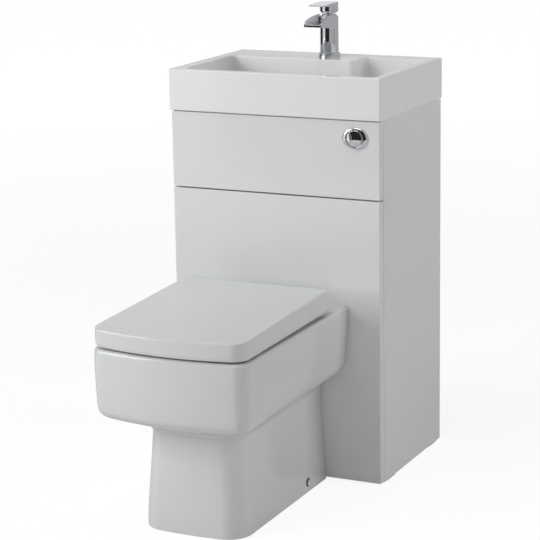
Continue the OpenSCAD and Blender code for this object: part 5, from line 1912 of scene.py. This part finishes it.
@dataclass
class Studio:
    """Camera, pale floor, soft lamps and the screens that the chrome reflects."""

    camera_spot: tuple[float, float, float] = (1.828905, -3.751024, 1.468088)
    azimuth: float = 25.66
    elevation: float = 13.32
    roll: float = -0.96
    focal: float = 2001.1
    picture: float = 540.0
    middle: Vec2 = (269.9, 270.6)
    sensor: float = 36.0
    ambient: float = 0.02
    floor_seen: float = 0.77
    floor_glow: Vec2 = (1.15, 1.29)
    floor_spread: Vec2 = (0.9, 6.0)
    floor_mirrored: Vec2 = (0.5, 1.0)
    mirrored_spread: Vec2 = (2.4, 3.6)

    def build(self) -> None:
        """Builds the camera, the world, the floor, the lamps and the screens."""
        bpy.context.scene.view_settings.view_transform = "Standard"
        self.camera()
        self.world()
        self.floor()
        self.lamps()
        self.screens()

    def camera(self) -> None:
        """Places the camera at the photograph's viewing angle."""
        az, el, roll = (math.radians(a) for a in (self.azimuth, self.elevation, self.roll))
        back = Vector((math.sin(az) * math.cos(el), -math.cos(az) * math.cos(el), math.sin(el)))
        right = (-back).cross(Vector((0, 0, 1))).normalized()
        up = right.cross(-back)
        side = right * math.cos(roll) + up * math.sin(roll)
        head = up * math.cos(roll) - right * math.sin(roll)
        data = bpy.data.cameras.new("camera")
        data.sensor_width = self.sensor
        data.lens = self.focal * self.sensor / self.picture
        data.shift_x = (self.picture / 2 - self.middle[0]) / self.picture
        data.shift_y = (self.middle[1] - self.picture / 2) / self.picture
        camera = bpy.data.objects.new("camera", data)
        turned = Matrix((side, head, back)).transposed().to_4x4()
        camera.matrix_world = Matrix.Translation(self.camera_spot) @ turned
        bpy.context.scene.collection.objects.link(camera)
        bpy.context.scene.camera = camera

    def world(self) -> None:
        """Builds the world: white behind the object, softer where it lights it."""
        world = bpy.data.worlds.new("studio")
        bpy.context.scene.world = world
        world.use_nodes = True
        g = Graph(world.node_tree)
        shader = world.node_tree.nodes["Background"]
        rays = g.add("ShaderNodeLightPath").outputs
        seen = g.math("MAXIMUM", rays["Is Camera Ray"],
                      g.math("MAXIMUM", rays["Is Glossy Ray"], rays["Is Transmission Ray"]))
        shader.inputs["Color"].default_value = (1, 1, 1, 1)
        g.feed(shader.inputs["Strength"], g.remap(seen, 0, 1, self.ambient, 1.0))

    def floor(self) -> None:
        """Builds the pale floor, which keeps the object's shadow."""
        shape = bmesh.new()
        reach = 14.0
        bmesh.ops.create_grid(shape, x_segments=2, y_segments=2, size=reach)
        mesh = bpy.data.meshes.new("floor")
        shape.to_mesh(mesh)
        shape.free()
        floor = bpy.data.objects.new("floor", mesh)
        floor.location.z = -0.0005
        bpy.context.scene.collection.objects.link(floor)
        material = bpy.data.materials.new("pale_floor")
        material.use_nodes = True
        g = Graph(material.node_tree)
        tree = material.node_tree
        shader = tree.nodes["Principled BSDF"]
        shader.inputs["Base Color"].default_value = (0.72, 0.72, 0.72, 1)
        shader.inputs["Roughness"].default_value = 0.9
        shader.inputs["Specular IOR Level"].default_value = 0.0
        glow = g.add("ShaderNodeEmission")
        rays = g.add("ShaderNodeLightPath").outputs
        mirrored = g.math("MAXIMUM", rays["Is Glossy Ray"], rays["Is Transmission Ray"])
        seen = g.math("MAXIMUM", rays["Is Camera Ray"], mirrored)
        away = g.add("ShaderNodeVectorMath", operation="LENGTH")
        g.feed(away.inputs[0], g.place())
        distance = away.outputs["Value"]
        spread = g.remap(distance, *self.floor_spread, *self.floor_glow)
        dimmed = g.remap(distance, *self.mirrored_spread, *self.floor_mirrored)
        g.feed(glow.inputs["Strength"], g.remap(rays["Is Camera Ray"], 0, 1, dimmed, spread))
        either = g.add("ShaderNodeMixShader")
        g.feed(either.inputs[0], g.math("MULTIPLY", seen, self.floor_seen))
        g.feed(either.inputs[1], shader.outputs[0])
        g.feed(either.inputs[2], glow.outputs[0])
        g.feed(tree.nodes["Material Output"].inputs["Surface"], either.outputs[0])
        mesh.materials.append(material)

    def lamp(self, name: str, spot: Sequence[float], aim: Sequence[float], size: float,
             power: float, mirrored: bool = True) -> None:
        """Adds a square soft lamp.

        Args:
            name: the lamp's name.
            spot: where it hangs, in metres.
            aim: the point that it looks at.
            size: its side.
            power: its power in watts.
            mirrored: False keeps it out of reflections.
        """
        data = bpy.data.lights.new(name, "AREA")
        data.shape = "SQUARE"
        data.size = size
        data.energy = power
        lamp = bpy.data.objects.new(name, data)
        lamp.location = spot
        lamp.visible_glossy = mirrored
        lamp.rotation_mode = "QUATERNION"
        lamp.rotation_quaternion = (Vector(aim) - Vector(spot)).to_track_quat("-Z", "Y")
        bpy.context.scene.collection.objects.link(lamp)

    def lamps(self) -> None:
        """Hangs the key lamp at the front left, one at the right, a fill and one above."""
        self.lamp("key_lamp", (-2.7, -2.8, 2.2), (0.0, 0.0, 0.6), 2.8, 136.0, False)
        self.lamp("right_lamp", (3.0, 0.9, 1.7), (0.0, 0.1, 0.5), 2.0, 45.0)
        self.lamp("fill_lamp", (1.6, -3.4, 1.0), (0.0, 0.0, 0.4), 2.6, 24.0)
        self.lamp("top_lamp", (-0.2, -0.6, 3.2), (0.0, 0.1, 0.5), 1.6, 19.0)

    def screen(self, name: str, turns: Vec2, heights: Vec2, grey: float,
               distances: Vec2 = (2.3, 2.3)) -> None:
        """Stands a curved screen round the unit, which only reflections see.

        Args:
            name: the screen's name.
            turns: its ends, in degrees from the front towards the right.
            heights: its lower and upper edge.
            grey: its brightness.
            distances: how far its lower and its upper edge stand from the middle.
        """
        shape = bmesh.new()
        steps = 24
        rows = []
        for k in range(steps + 1):
            a = math.radians(turns[0] + (turns[1] - turns[0]) * k / steps)
            rows.append([shape.verts.new((away * math.sin(a), -away * math.cos(a), z))
                         for away, z in zip(distances, heights)])
        for low, high in zip(rows, rows[1:]):
            shape.faces.new((low[0], high[0], high[1], low[1]))
        mesh = bpy.data.meshes.new(name)
        shape.to_mesh(mesh)
        shape.free()
        screen = bpy.data.objects.new(name, mesh)
        bpy.context.scene.collection.objects.link(screen)
        material = bpy.data.materials.new(f"{name}_cloth")
        material.use_nodes = True
        g = Graph(material.node_tree)
        glow = g.add("ShaderNodeEmission")
        glow.inputs["Color"].default_value = (grey, grey, grey * 1.02, 1)
        g.feed(material.node_tree.nodes["Material Output"].inputs["Surface"], glow.outputs[0])
        mesh.materials.append(material)
        for ray in ("camera", "diffuse", "shadow", "transmission", "volume_scatter"):
            setattr(screen, f"visible_{ray}", False)

    def screens(self) -> None:
        """Stands the dark and grey screens, and the bright one in the key lamp's place."""
        self.screen("front_screen", (-31, 32), (0.22, 2.7), 0.02)
        self.screen("left_screen", (-118, -71), (0.22, 3.3), 0.03)
        self.screen("right_screen", (33, 178), (0.1, 3.0), 0.42)
        self.screen("right_stripe", (92, 99), (0.2, 3.0), 0.2, (2.25, 2.25))
        self.screen("back_screen", (178, 242), (0.1, 3.0), 0.78)
        self.screen("roof_screen", (0, 360), (3.4, 3.6), 0.2, (2.6, 0.1))
        self.screen("key_screen", (-64, -33), (1.0, 3.2), 3.4, (3.4, 3.4))


def main() -> None:
    """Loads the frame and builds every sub-assembly in order."""
    logging.basicConfig(level=logging.INFO, format="%(message)s")
    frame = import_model()
    Studio().build()
    for part in (Cabinet(), Basin(), Tap(), FlushButton(), Pan(), Seat(), Cistern(), Supply()):
        log.info("-- %s", type(part).__name__)
        part.build()
    dress_rest(frame)


if __name__ == "__main__":
    main()
